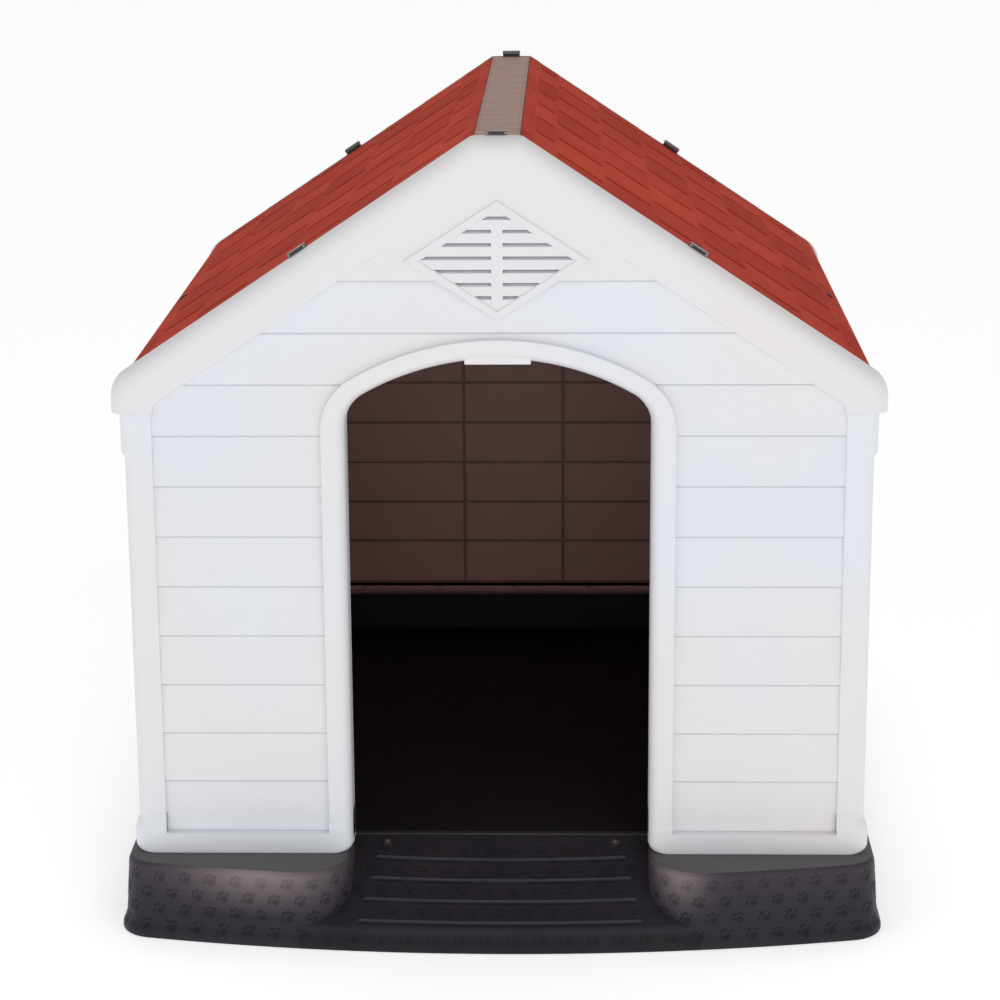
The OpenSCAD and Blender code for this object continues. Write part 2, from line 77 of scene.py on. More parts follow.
class Shade:
    # wraps an output socket, so that materials can be written as sums
    def __init__(self, tree, socket):
        self.tree = tree
        self.socket = socket

    def calc(self, operation, *others, flip=False):
        values = [self, *others]
        if flip:
            values = [*others, self]
        node = self.tree.nodes.new("ShaderNodeMath")
        node.operation = operation
        for i, value in enumerate(values):
            plug(self.tree, node.inputs[i], value)
        return Shade(self.tree, node.outputs[0])

    def __add__(self, other):
        return self.calc("ADD", other)

    def __sub__(self, other):
        return self.calc("SUBTRACT", other)

    def __rsub__(self, other):
        return self.calc("SUBTRACT", other, flip=True)

    def __mul__(self, other):
        return self.calc("MULTIPLY", other)

    def __truediv__(self, other):
        return self.calc("DIVIDE", other)

    __radd__ = __add__
    __rmul__ = __mul__


def plug(tree, target, value):
    if isinstance(value, Shade):
        tree.links.new(value.socket, target)
    elif isinstance(value, (tuple, list)) and len(value) == 3 and target.type == "RGBA":
        target.default_value = (*value, 1)
    else:
        target.default_value = value


class Paint:
    # one material with its Principled shader
    def __init__(self, name, **constants):
        self.material = bpy.data.materials.new(name)
        self.material.use_nodes = True
        self.tree = self.material.node_tree
        self.shader = self.tree.nodes["Principled BSDF"]
        for key, value in constants.items():
            plug(self.tree, self.shader.inputs[key.replace("_", " ")], value)

    def node(self, kind, settings=None, inputs=None, output=0):
        node = self.tree.nodes.new("ShaderNode" + kind)
        for key, value in (settings or {}).items():
            if key == "stops":
                while len(node.color_ramp.elements) < len(value):
                    node.color_ramp.elements.new(0.5)
                for element, (place, grey) in zip(node.color_ramp.elements, value):
                    element.position = place
                    element.color = (grey, grey, grey, 1)
            else:
                setattr(node, key, value)
        for key, value in (inputs or {}).items():
            plug(self.tree, node.inputs[key], value)
        return Shade(self.tree, node.outputs[output])

    def noise(self, size, detail=3.0, stretch=(1, 1, 1), roughness=0.55):
        place = self.node("TexCoord", output="Object")
        grid = self.node("Mapping", None, {"Vector": place, "Scale": stretch})
        return self.node("TexNoise", None, {
            "Vector": grid, "Scale": 1 / size, "Detail": detail, "Roughness": roughness})

    def mix(self, amount, a, b):
        node = self.tree.nodes.new("ShaderNodeMix")
        node.data_type = "RGBA"
        plug(self.tree, node.inputs[0], amount)
        plug(self.tree, node.inputs[6], a)
        plug(self.tree, node.inputs[7], b)
        return Shade(self.tree, node.outputs[2])

    def ramp(self, value, stops):
        return self.node("ValToRGB", {"stops": stops}, {"Fac": value})

    def mask(self, name):
        return self.node("Attribute", {"attribute_name": name}, None, "Fac")

    def bump(self, height, depth):
        bump = self.node("Bump", None, {"Height": height, "Distance": depth})
        plug(self.tree, self.shader.inputs["Normal"], bump)

    def set(self, **varying):
        for key, value in varying.items():
            plug(self.tree, self.shader.inputs[key.replace("_", " ")], value)
        return self.material


def wallPlastic():
    paint = Paint("whiteWallPlastic", IOR=1.45)
    warm = paint.ramp(paint.noise(0.33, 1.5), [(0.42, 0), (0.68, 1)])
    colour = paint.mix(warm, (0.765, 0.79, 0.84), (0.80, 0.78, 0.775))
    colour = paint.mix(paint.mask("warm") * 0.45, colour, (0.80, 0.745, 0.735))
    # painted shade: a grey line in the corner under each board's lap
    colour = paint.mix(paint.mask("line") * 0.62, colour, (0.33, 0.34, 0.37))
    # painted light: inner faces are warm brown, standing in for the warm light that comes through the roof
    colour = paint.mix(paint.mask("inside"), colour, (0.53, 0.285, 0.255))
    colour = paint.mix(paint.mask("seam"), colour, (0.16, 0.08, 0.068))
    grain = paint.noise(0.0016, 4.0, (0.045, 0.045, 1))
    paint.bump(grain * paint.mask("grain"), 0.00035)
    rough = paint.noise(0.09, 2.0) * 0.10 + 0.40
    return paint.set(Base_Color=colour, Roughness=rough)


def roofPlastic():
    paint = Paint("redRoofPlastic", IOR=1.45, Specular_IOR_Level=0.02)
    patch = paint.ramp(paint.noise(0.16, 2.0), [(0.35, 0), (0.7, 1)])
    tone = paint.mask("tone")
    colour = paint.mix(patch * 0.4 + tone * 0.6, (0.43, 0.036, 0.017), (0.64, 0.072, 0.037))
    # painted shade: the grooves between shingles are near black
    colour = paint.mix(paint.mask("groove"), colour, (0.022, 0.002, 0.002))
    # painted shadow: a dark strip along the rear edge, where the gap to the rear hood lies in shade
    colour = paint.mix(paint.mask("rim"), colour, (0.030, 0.012, 0.010))
    speckle = paint.noise(0.0022, 3.0)
    paint.bump(speckle * (1 - paint.mask("groove")), 0.0006)
    rough = paint.noise(0.05, 2.0) * 0.12 + 0.60
    return paint.set(Base_Color=colour, Roughness=rough)


def capPlastic():
    paint = Paint("taupeCapPlastic", IOR=1.45, Specular_IOR_Level=0.12)
    streak = paint.ramp(paint.noise(0.006, 4.0, (0.10, 1, 1)), [(0.35, 0), (0.66, 1)])
    colour = paint.mix(streak, (0.38, 0.235, 0.185), (0.52, 0.33, 0.27))
    colour = paint.mix(paint.mask("rim") * 0.35, colour, (0.46, 0.14, 0.13))
    # painted shade: a dark line along the cap's side edges and across its rear end
    colour = paint.mix(paint.mask("dark"), colour, (0.035, 0.014, 0.012))
    paint.bump(paint.noise(0.003, 3.0, (0.1, 1, 1)), 0.0003)
    return paint.set(Base_Color=colour, Roughness=paint.noise(0.04, 2.0) * 0.1 + 0.45)


def basePlastic():
    paint = Paint("blackBasePlastic", IOR=1.48, Specular_IOR_Level=0.13)
    cloud = paint.ramp(paint.noise(0.10, 3.0), [(0.35, 0), (0.7, 1)])
    colour = paint.mix(cloud, (0.025, 0.022, 0.028), (0.033, 0.028, 0.035))
    # painted shade: the skirt is darker near the ground and lighter higher up
    colour = paint.mix(paint.mask("middle"), colour, (0.031, 0.028, 0.036))
    # painted highlight: a pale sheen near the top of the skirt
    colour = paint.mix(paint.mask("sheen"), colour, (0.24, 0.195, 0.215))
    colour = paint.mix(paint.mask("deck"), colour, (0.120, 0.115, 0.120))
    colour = paint.mix(paint.mask("paw") * 0.62, colour, (0.010, 0.0088, 0.011))
    # painted highlight along the upper edge of each print
    colour = paint.mix(paint.mask("pawEdge") * 0.13, colour, (0.17, 0.15, 0.165))
    # painted highlight on the tops of the ramp ribs
    colour = paint.mix(paint.mask("ribTop") * 0.5, colour, (0.095, 0.088, 0.105))
    # painted shade: a dark band just below each rib, and the lip darker towards the ground
    colour = paint.mix(paint.mask("ribFoot") * 0.85, colour, (0.004, 0.0035, 0.0045))
    paint.bump(paint.noise(0.0035, 4.0), 0.0006)
    rough = paint.noise(0.03, 3.0) * 0.16 + 0.36 + paint.mask("deck") * 0.25
    return paint.set(Base_Color=colour, Roughness=rough)


def trayPlastic():
    paint = Paint("blackTrayPlastic", IOR=1.45, Specular_IOR_Level=0.3)
    colour = paint.mix(paint.noise(0.2, 2.0), (0.010, 0.0088, 0.0088), (0.017, 0.0145, 0.0150))
    return paint.set(Base_Color=colour, Roughness=paint.noise(0.05, 2.0) * 0.15 + 0.5)


def clipPlastic():
    paint = Paint("darkClipPlastic", IOR=1.5)
    colour = paint.mix(paint.mask("rim"), (0.010, 0.009, 0.010), (0.42, 0.36, 0.34))
    return paint.set(Base_Color=colour, Roughness=paint.noise(0.004, 2.0) * 0.1 + 0.26)


def zincMetal():
    paint = Paint("zincScrews", Metallic=1.0)
    colour = paint.mix(paint.noise(0.004, 3.0), (0.36, 0.36, 0.37), (0.56, 0.56, 0.55))
    return paint.set(Base_Color=colour, Roughness=paint.noise(0.003, 2.0) * 0.12 + 0.3)


wallWhite = wallPlastic()
roofRed = roofPlastic()
capTaupe = capPlastic()
baseBlack = basePlastic()
trayBlack = trayPlastic()
clipBlack = clipPlastic()
zinc = zincMetal()
print("materials ready")


def addPiece(name, points, faces, material, body="house", stands=(), crease=35, masks=None):
    mesh = bpy.data.meshes.new(name)
    scaled = np.asarray(points, float) * mm
    mesh.from_pydata(scaled.tolist(), [], faces)
    mesh.update()
    for label, values in (masks or {}).items():
        layer = mesh.attributes.new(label, "FLOAT", "POINT")
        layer.data.foreach_set("value", np.asarray(values, np.float32))
    piece = bpy.data.objects.new(name, mesh)
    bpy.context.scene.collection.objects.link(piece)
    mesh.materials.append(material)
    finishMesh(piece, crease)
    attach(piece, body)
    if stands:
        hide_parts(*stands)
    return piece


def finishMesh(piece, crease=35, weld=True):
    mesh = piece.data
    work = bmesh.new()
    work.from_mesh(mesh)
    if weld:
        bmesh.ops.remove_doubles(work, verts=work.verts, dist=0.00002)
    bmesh.ops.recalc_face_normals(work, faces=work.faces)
    work.to_mesh(mesh)
    work.free()
    mesh.shade_smooth()
    mesh.set_sharp_from_angle(angle=math.radians(crease))
    tidy = piece.modifiers.new("evenNormals", "WEIGHTED_NORMAL")
    tidy.keep_sharp = True


def soften(piece, width, segments=2, angle=40):
    bevel = piece.modifiers.new("softEdges", "BEVEL")
    bevel.width = width * mm
    bevel.segments = segments
    bevel.limit_method = "ANGLE"
    bevel.angle_limit = math.radians(angle)
    bevel.harden_normals = False
    piece.modifiers.move(len(piece.modifiers) - 1, 0)
    return piece


class Shape:
    # collects points and faces of one piece
    def __init__(self):
        self.points = []
        self.faces = []

    def prism(self, outline, low, high, place):
        # outline is closed, place(u, v, h) turns it into a point
        start = len(self.points)
        n = len(outline)
        for h in (low, high):
            self.points += [place(u, v, h) for u, v in outline]
        self.faces.append([start + i for i in reversed(range(n))])
        self.faces.append([start + n + i for i in range(n)])
        for i in range(n):
            j = (i + 1) % n
            self.faces.append([start + i, start + j, start + n + j, start + n + i])
        return self

    def upright(self, outline, y0, y1):
        return self.prism(outline, y0, y1, lambda u, v, h: (u, h, v))

    def standing(self, outline, z0, z1):
        return self.prism(outline, z0, z1, lambda u, v, h: (u, v, h))

    def crosswise(self, outline, x0, x1):
        return self.prism(outline, x0, x1, lambda u, v, h: (h, u, v))

    def block(self, a, b):
        outline = [(a[0], a[1]), (b[0], a[1]), (b[0], b[1]), (a[0], b[1])]
        return self.standing(outline, a[2], b[2])

    def loft(self, rings, closed=False, ends=False):
        start = len(self.points)
        n = len(rings[0])
        for ring in rings:
            self.points += [tuple(p) for p in ring]
        last = n if closed else n - 1
        for r in range(len(rings) - 1):
            for i in range(last):
                j = (i + 1) % n
                a, b = start + r * n, start + (r + 1) * n
                self.faces.append([a + i, a + j, b + j, b + i])
        if ends:
            for i in (0, n - 1):
                self.faces.append([start + r * n + i for r in range(len(rings))])
        return self

    def piece(self, name, material, **rest):
        return addPiece(name, self.points, self.faces, material, **rest)


def box3(s, x0, x1, y0, y1, z0, z1):
    # corners of a box on side s of the house
    a, b = sorted((s * x0, s * x1))
    return (a, y0, z0), (b, y1, z1)


def carve(piece, tool, operation="DIFFERENCE"):
    # cuts piece with a Shape and keeps the result as its mesh
    mesh = bpy.data.meshes.new("tool")
    mesh.from_pydata([tuple(c * mm for c in p) for p in tool.points], [], tool.faces)
    cutter = bpy.data.objects.new("tool", mesh)
    bpy.context.scene.collection.objects.link(cutter)
    work = bmesh.new()
    work.from_mesh(mesh)
    bmesh.ops.recalc_face_normals(work, faces=work.faces)
    work.to_mesh(mesh)
    work.free()
    kept = [m for m in piece.modifiers]
    for m in kept:
        piece.modifiers.remove(m)
    cut = piece.modifiers.new("cut", "BOOLEAN")
    cut.operation = operation
    cut.object = cutter
    cut.solver = "EXACT"
    cut.use_self = True
    graph = bpy.context.evaluated_depsgraph_get()
    result = bpy.data.meshes.new_from_object(piece.evaluated_get(graph))
    piece.modifiers.clear()
    piece.data = result
    bpy.data.objects.remove(cutter)
    finishMesh(piece)
    return piece


def plate(name, loops, y0, y1, edge, material, **rest):
    # flat plate standing in X and Z, with holes and rounded edges
    curve = bpy.data.curves.new(name, "CURVE")
    curve.dimensions = "2D"
    curve.fill_mode = "BOTH"
    curve.extrude = ((y1 - y0) / 2 - edge) * mm
    curve.bevel_depth = edge * mm
    curve.bevel_resolution = 2
    curve.offset = -edge * mm
    for loop in loops:
        spline = curve.splines.new("POLY")
        spline.points.add(len(loop) - 1)
        for point, (x, z) in zip(spline.points, loop):
            point.co = (x * mm, z * mm, 0, 1)
        spline.use_cyclic_u = True
    holder = bpy.data.objects.new(name, curve)
    bpy.context.scene.collection.objects.link(holder)
    graph = bpy.context.evaluated_depsgraph_get()
    mesh = bpy.data.meshes.new_from_object(holder.evaluated_get(graph))
    bpy.data.objects.remove(holder)
    points = [(v.co.x / mm, -v.co.z / mm + (y0 + y1) / 2, v.co.y / mm) for v in mesh.vertices]
    faces = [list(f.vertices) for f in mesh.polygons]
    return addPiece(name, points, faces, material, **rest)


def arc(cx, cy, r, a0, a1, n):
    turns = [math.radians(a0 + (a1 - a0) * i / n) for i in range(n + 1)]
    return [(cx + r * math.cos(a), cy + r * math.sin(a)) for a in turns]


def flipped(line):
    return [(-x, z) for x, z in reversed(line)]


def halfGable(d, ex, r, low, apex=0.0):
    pitch = roof["pitch"]
    cx = ex - r
    rx = roof["ridgeHalf"] + d * math.tan(pitch / 2)
    cz = roof["ridge"] + d - (cx - rx) * math.tan(pitch) - r / math.cos(pitch)
    top = [(rx, roof["ridge"] + d)]
    if apex:
        t = apex * math.tan(pitch / 2)
        top = arc(rx - t, roof["ridge"] + d - apex, apex, 90, 90 - math.degrees(pitch), 6)
    return top + arc(cx, cz, r, 90 - math.degrees(pitch), 0, 14) + [(ex, low)]


def gable(d, ex, r, low, apex=0.0):
    half = halfGable(d, ex, r, low, apex)
    return flipped(half) + half


def rakeZ(x, inset):
    slope = math.tan(roof["pitch"])
    return roof["ridge"] - (abs(x) - roof["ridgeHalf"]) * slope - inset / math.cos(roof["pitch"])


def roofLine(inset, low):
    return gable(-inset, roof["half"] - inset, max(0.01, roof["eaveRadius"] - inset), low)


doorway = {"half": 186.0, "archRadius": 330.0, "archTop": 732.0, "corner": 45.0, "frame": 30.0}


def doorLine(grow, low):
    archC = doorway["archTop"] - doorway["archRadius"]
    j = doorway["half"] + grow
    r = doorway["archRadius"] + 0.85 * grow
    rc = doorway["corner"] + grow
    fx = j - rc
    fz = archC + math.sqrt((r - rc) ** 2 - fx * fx)
    a = math.degrees(math.atan2(fz - archC, fx))
    return ([(j, low)] + arc(fx, fz, rc, 0, a, 12) + arc(0, archC, r, a, 180 - a, 28)
            + arc(-fx, fz, rc, 180 - a, 180, 12) + [(-j, low)])


siding = {
    "first": 192.5,
    "height": 63.6,
    "lap": 3.0,
    "rows": 10,
    "sideRows": 8,
    "innerDrop": 18.0,
}


def boardProfile(y, rows):
    # back to front section of the clapboard, as (y, z)
    low = house["panelBottom"]
    line = [(y + house["sheet"], low - 4), (y, low - 4), (y, low + 1)]
    for i in range(rows + 1):
        z0 = low + 1 if i == 0 else siding["first"] + siding["height"] * (i - 1)
        z1 = siding["first"] + siding["height"] * i
        lap = 0.0 if i == 0 else siding["lap"]
        if i:
            line += [(y - 0.4, z0), (y - lap + 0.9, z0 + 0.1), (y - lap + 0.2, z0 + 0.6)]
            line += [(y - lap, z0 + 1.5)]
        line += [(y - 0.5 if i else y - 0.25, z1 - 2.6), (y - 0.4, z1)]
    return line + [(y + house["sheet"], siding["first"] + siding["height"] * rows)]


def setMask(piece, label, value=1.0):
    layer = piece.data.attributes.new(label, "FLOAT", "POINT")
    layer.data.foreach_set("value", [value] * len(piece.data.vertices))


def lineMask(piece, depthOf):
    # paints a soft shadow in the corner under each board
    layer = piece.data.attributes.new("line", "FLOAT", "POINT")
    depths = [depthOf(v.co / mm) for v in piece.data.vertices]
    layer.data.foreach_set("value", [1.0 if 0.3 < d < 0.45 else 0.0 for d in depths])


def tintInside(piece, test):
    # marks inner faces, which take the warm light that comes through the roof
    layer = piece.data.attributes.new("inside", "FLOAT", "POINT")
    layer.data.foreach_set("value", [1.0 if test(v.co / mm) else 0.0 for v in piece.data.vertices])


hood = {
    "half": 472.0,
    "rearHalf": 466.0,
    "tip": 665.0,
    "rise": 3.0,
    "rearRise": 0.0,
    "corner": 40.0,
    "round": 22.0,
    "band": 52.0,
    "apex": 16.0,
}
vent = {"z": 853.0, "half": 111.0, "high": 72.5, "pitch": 16.0, "slot": 4.0, "bar": 14.0}
collar = {"low": 612.0, "out": 5.0}
flange = {"depth": 36.0, "gableReach": 441.0, "sideFrom": 395.0, "sideTo": 449.0, "slack": (10, 1.8)}


def diamond(w, h):
    z = vent["z"]
    return [(0, z + h), (-w, z), (0, z - h), (w, z)]


def hoodRing(inset, y, turned):
    r = max(0.02, hood["corner"] - inset)
    apex = max(0.02, hood["apex"] - inset * 0.25)
    rise = hood["rearRise"] if turned else hood["rise"]
    half = hood["rearHalf"] if turned else hood["half"]
    line = gable(rise - inset, half - inset, r, hood["tip"], apex)
    return [(x, y, z) for x, z in line]


def flangeSection(keep):
    # closed section of the ledge that the roof lies on
    upper = [p for p in roofLine(house["sheet"] + clearance, 640) if keep(p[0])]
    lower = [p for p in roofLine(2 * house["sheet"] + clearance, 640) if keep(p[0])]
    return upper + list(reversed(lower))


def turnAbout(piece, turned):
    # rear wall pieces are built at the front and mirrored through the middle
    if turned:
        for v in piece.data.vertices:
            v.co.y = 2 * midY * mm - v.co.y
        piece.data.flip_normals()
    return piece


def gableWall(prefix, turned):
    stand = ["rear_wall" if turned else "front_wall"]
    y = house["frontY"]
    made = []

    # clapboards, cut by the rake, the doorway and the vent
    boards = Shape().crosswise(boardProfile(skinY, siding["rows"]), -postInner - 6, postInner + 6)
    boards = boards.piece(prefix + "Boards", wallWhite, stands=stand)
    x = postInner + 8
    inset = hood["band"] - 3
    top = siding["first"] + siding["height"] * siding["rows"]
    topX = roof["ridgeHalf"] + (roof["ridge"] - top - inset / math.cos(roof["pitch"])) / math.tan(
        roof["pitch"])
    field = [(-x, 100), (x, 100), (x, rakeZ(x, inset)), (topX, top + 1), (-topX, top + 1),
             (-x, rakeZ(x, inset))]
    carve(boards, Shape().upright(field, y - 20, y + 60), "INTERSECT")
    if not turned:
        carve(boards, Shape().upright(doorLine(14, 90), y - 30, y + 60))
    carve(boards, Shape().upright(diamond(97, 63.5), y - 30, y + 60))
    setMask(boards, "grain")
    lineMask(boards, lambda p: skinY - p.y)
    made.append(boards)

    # smooth field over the top board, which runs flush into the rake band at the vent
    columns = [-190, -150, -128, -106, -84, -40, -14, 0, 14, 40, 84, 106, 128, 150, 190]
    crest = Shape()
    lower, upper, back, backLow = [], [], [], []
    for cx in columns:
        t = min(1, max(0, (abs(cx) - 84) / 66))
        t = t * t * (3 - 2 * t)
        face = y - 0.02 + 1.5 * t
        topZ = min(roof["ridge"] - hood["band"] + 6, rakeZ(cx, hood["band"] - 4))
        lower.append((cx, face, top))
        upper.append((cx, face, topZ))
        back.append((cx, skinY + 3, topZ))
        backLow.append((cx, skinY + 3, top))
    crest.loft([lower, upper, back, backLow, lower])
    for i in (0, -1):
        start = len(crest.points)
        crest.points += [lower[i], upper[i], back[i], backLow[i]]
        crest.faces.append([start, start + 1, start + 2, start + 3])
    crest = crest.piece(prefix + "GableTop", wallWhite, stands=stand)
    carve(crest, Shape().upright(diamond(97, 63.5), y - 30, y + 60))
    setMask(crest, "warm")
    made.append(crest)

    # plain inner skin behind the rake band
    band = gable(-6, house["postHalf"] - 2, 26, 640)
    skin = Shape().upright(band, skinY + 0.5, skinY + house["sheet"])
    skin = skin.piece(prefix + "Skin", wallWhite, stands=stand)
    carve(skin, Shape().upright(doorLine(14, 90), y - 30, y + 60))
    carve(skin, Shape().upright(diamond(97, 63.5), y - 30, y + 60))
    made.append(skin)

    # hood with its rounded front edge and the plain band below it
    r = hood["round"]
    lead = [(hood["band"] + 1.5, skinY), (hood["band"] + 1.5, y + 1.6), (hood["band"] + 1.0, y + 0.5)]
    lead += [(hood["band"], y + 0.08), (hood["band"] - 1.2, y), (hood["band"] - 8, y), (r + 8, y), (r, y)]
    turns = [math.radians(a) for a in range(10, 91, 10)]
    lead += [(r * (1 - math.sin(a)), y + r * (1 - math.cos(a))) for a in turns]
    lead += [(0.6, y + r + 0.2), (9, y + r + 0.2)]
    rings = [hoodRing(d, yy, turned) for d, yy in lead]
    crown = Shape().loft(rings, ends=True).piece(prefix + "Hood", wallWhite, stands=stand, crease=40)
    setMask(crown, "warm")
    made.append(crown)

    # vent: a raised frame round a slotted panel
    slots = []
    for i in range(8):
        z = vent["z"] + 51 - vent["pitch"] * i
        edges = [z - vent["slot"] / 2, z + vent["slot"] / 2]
        reach = [92 * (1 - abs(e - vent["z"]) / 60.5) for e in edges]
        if i == 0:
            slots.append([(-reach[0], edges[0]), (reach[0], edges[0]), (reach[1], edges[1]),
                          (-reach[1], edges[1])])
        else:
            for s in (-1, 1):
                ends = [max(vent["bar"] / 2 + 1, reach[k]) for k in (0, 1)]
                slots.append([(s * vent["bar"] / 2, edges[0]), (s * ends[0], edges[0]),
                              (s * ends[1], edges[1]), (s * vent["bar"] / 2, edges[1])])
    panel = plate(prefix + "VentPanel", [diamond(98, 64.5)] + slots, y - 0.2, y + 2.6, 0.5,
                  wallWhite, stands=stand)
    blades = Shape()
    for i in range(8):
        z = vent["z"] + 51 - vent["pitch"] * i
        reach = 92 * (1 - abs(z - vent["z"]) / 60.5) + 2
        blade = [(y + 2.8, z - 1.9), (y + 2.8, z - 3.5), (y + 11, z + 4), (y + 11, z + 5.6)]
        blades.crosswise(blade, -reach, reach)
    made.append(blades.piece(prefix + "VentBlades", wallWhite, stands=stand))
    rim = plate(prefix + "VentFrame", [diamond(vent["half"], vent["high"]), diamond(94, 61.4)],
                y - 2, y + 3, 1.2, wallWhite, stands=stand)
    setMask(panel, "warm")
    setMask(rim, "warm")
    made += [panel, rim]

    # corner posts with a collar under the hood and a foot
    for s in (-1, 1):
        label = "Right" if s > 0 else "Left"
        out = house["postHalf"]
        deep = y + house["postDepth"]
        plan = [(postInner, skinY + 2), (postInner, y + 1.4), (postInner + 0.5, y + 0.4)]
        plan += [(postInner + 1.6, y)]
        rc = house["postCorner"]
        plan += [(out - rc + rc * math.sin(a), y + rc - rc * math.cos(a)) for a in quarterTurn]
        plan += [(out, deep - 1), (out - 1, deep), (out - 4, deep), (out - 4, skinY + 4)]
        low = house["ledge"] + 24  # inside the foot
        post = Shape().standing([(s * px, py) for px, py in plan], low, hood["tip"] - 0.1)
        made.append(post.piece(prefix + label + "Post", wallWhite, stands=stand))
        rings = []
        for rise, g in ((0, 0.2), (1, 3), (4, collar["out"]), (None, collar["out"])):
            z = hood["tip"] - 0.1 if rise is None else collar["low"] + rise
            r = rc + g * 0.8
            o = out + g
            f = y + 0.3 - 0.09 * g
            line = [(postInner + 16, f + 1), (postInner + 17, f)]
            line += [(o - r + r * math.sin(a), f + r - r * math.cos(a)) for a in quarterTurn]
            line += [(o, deep - 1), (o - g - 2, deep)]
            rings.append([(s * px, py, z) for px, py in line])
        made.append(Shape().loft(rings).piece(prefix + label + "Collar", wallWhite, stands=stand))

    made += wallFoot(prefix, turned, stand)

    # ledge under the roof, with slots for the clips' tongues
    section = flangeSection(lambda px: abs(px) <= flange["gableReach"])
    start = skinY + house["sheet"]
    ledge = Shape().upright(section, start, start + flange["depth"])
    ledge = ledge.piece(prefix + "Flange", wallWhite, stands=stand)
    for place in clipPlaces():
        if not place["eave"] and place["y"] < midY:
            carve(ledge, clipHole(place, *flange["slack"]))
    made.append(ledge)
    for piece in made:
        turnAbout(piece, turned)
    for piece in (boards, skin, crest):
        tintInside(piece, lambda p: skinY + 1 < p.y < house["rearY"] - 8)
    return made


footBand = {"corner": 14.0, "postFillet": 12.0, "doorFillet": 13.0, "doorWidth": 30.0, "doorDepth": 38.0}


def wallFoot(prefix, turned, stand):
    # thicker band round the foot, rounded at its lower corners and fading out at its top
    out = house["postHalf"] + house["footOut"]
    ledge, low, top = house["ledge"], house["panelBottom"], house["footTop"]
    rc = footBand["corner"]
    spans = [(-out, out)] if turned else [(doorway["half"], out), (-out, -doorway["half"])]
    made = []
    heights = [ledge + rc * (1 - math.cos(math.radians(a))) for a in range(0, 91, 10)]

    def outline(x0, x1, z, y0):
        rise = min(1, max(0, (z - low - 4) / (top - low - 3)))
        grow = house["footOut"] * (1 - rise * rise * (3 - 2 * rise)) + 0.25
        dip = max(0.0, rc - (z - ledge))
        dx = rc - math.sqrt(max(0, rc * rc - dip * dip))
        grow -= 0.8 * max(0, 1 - (z - ledge) / 1.2) ** 2
        face = y0 - grow
        points = []
        for x, s in ((x0, -1), (x1, 1)):
            outer = abs(x) == out
            inner = abs(x) == doorway["half"]
            edge = x - s * dx
            if outer:
                edge -= s * (house["footOut"] + 0.25 - max(grow, 0))
            r = 0.6
            deep = skinY + 3
            if outer:
                r = footBand["postFillet"]
                deep = y0 + house["postDepth"]
            elif inner:
                r = footBand["doorFillet"]
                deep = y0 + footBand["doorDepth"]
            side = [(edge - s * r + s * r * math.sin(a), face + r - r * math.cos(a)) for a in quarterTurn]
            side += [(edge, deep), (edge - s * 4, deep), (edge - s * 4, skinY + 3)]
            points.append(side)
        return [(x, y, z) for x, y in list(reversed(points[0])) + points[1]]

    for k, (x0, x1) in enumerate(spans):
        y0 = house["frontY"]
        rings = [outline(x0, x1, z, y0) for z in heights + [low - 0.8]]
        rings.append([(x, max(y, skinY - 0.5), low) for x, y, z in outline(x0, x1, low, y0)])
        band = Shape().loft(rings, closed=True)
        band.faces.append(list(range(len(rings[0]))))
        made.append(band.piece(prefix + "Foot" + str(k), wallWhite, stands=stand, crease=55))
        levels = [low - 0.8, low + 4, low + 8, low + 12, low + 16, low + 19, top, top + 2]
        ends = []
        if x1 == out:
            ends.append((postInner, out))
        if x0 == -out:
            ends.append((-out, -postInner))
        if not turned:
            jamb = doorway["half"] + footBand["doorWidth"]
            ends.append((doorway["half"], jamb) if x0 > 0 else (-jamb, -doorway["half"]))
        for e, (a, b) in enumerate(ends):
            rings = [outline(a, b, z, y0) for z in levels]
            column = Shape().loft(rings, closed=True)
            made.append(column.piece(prefix + "FootTop" + str(k) + str(e), wallWhite,
                                     stands=stand, crease=45))
    return made


clip = {
    "length": 26.0,
    "front": -10.5,
    "back": 1.5,
    "underside": 3.3,
    "height": 8.0,
    "tongue": (16.0, 3.4, 18.0),
    "eaveSize": (12.0, 4.0, 1.6),
    "eaveTongue": (8.0, 1.6, 18.0),
    "rake": 252.0,
    "eave": 495.0,
    "setback": 8.0,
}


def clipPlaces():
    near = roof["front"] + clip["setback"]
    far = roof["rear"] - clip["setback"]
    names = {-1: "left", 0: "ridge", 1: "right"}
    places = []
    for y, end in ((near, "front"), (far, "rear")):
        for side in (-1, 0, 1):
            reach = clip["rake"] if side else 0
            body = end + "_" + names[side] + "_clip"
            places.append({"body": body, "side": side, "reach": reach, "y": y, "eave": False})
    for side in (-1, 1):
        body = names[side] + "_eave_clip"
        places.append({"body": body, "side": side, "reach": clip["eave"], "y": midY - 20, "eave": True})
    return places


def onRoof(place):
    # from a flat piece at the origin to its place on the roof
    side = place["side"]
    pitch = roof["pitch"]
    x = side * (roof["ridgeHalf"] + place["reach"] * math.cos(pitch)) if side else 0
    z = roof["ridge"] - (place["reach"] * math.sin(pitch) if side else 0)
    spot = Matrix.Translation((x, place["y"], z))
    return spot @ Matrix.Rotation(side * pitch, 4, "Y")


def placed(shape, matrix):
    shape.points = [tuple(matrix @ Vector(p)) for p in shape.points]
    return shape


def clipHole(place, slack, slackT):
    tongue = clip["eaveTongue"] if place["eave"] else clip["tongue"]
    l = tongue[0] / 2 + slack
    t = tongue[1] / 2 + slackT
    return placed(Shape().block((-l, -t, -26), (l, t, 12)), onRoof(place))


gableWall("front", False)
gableWall("rear", True)
print("gable walls ready")


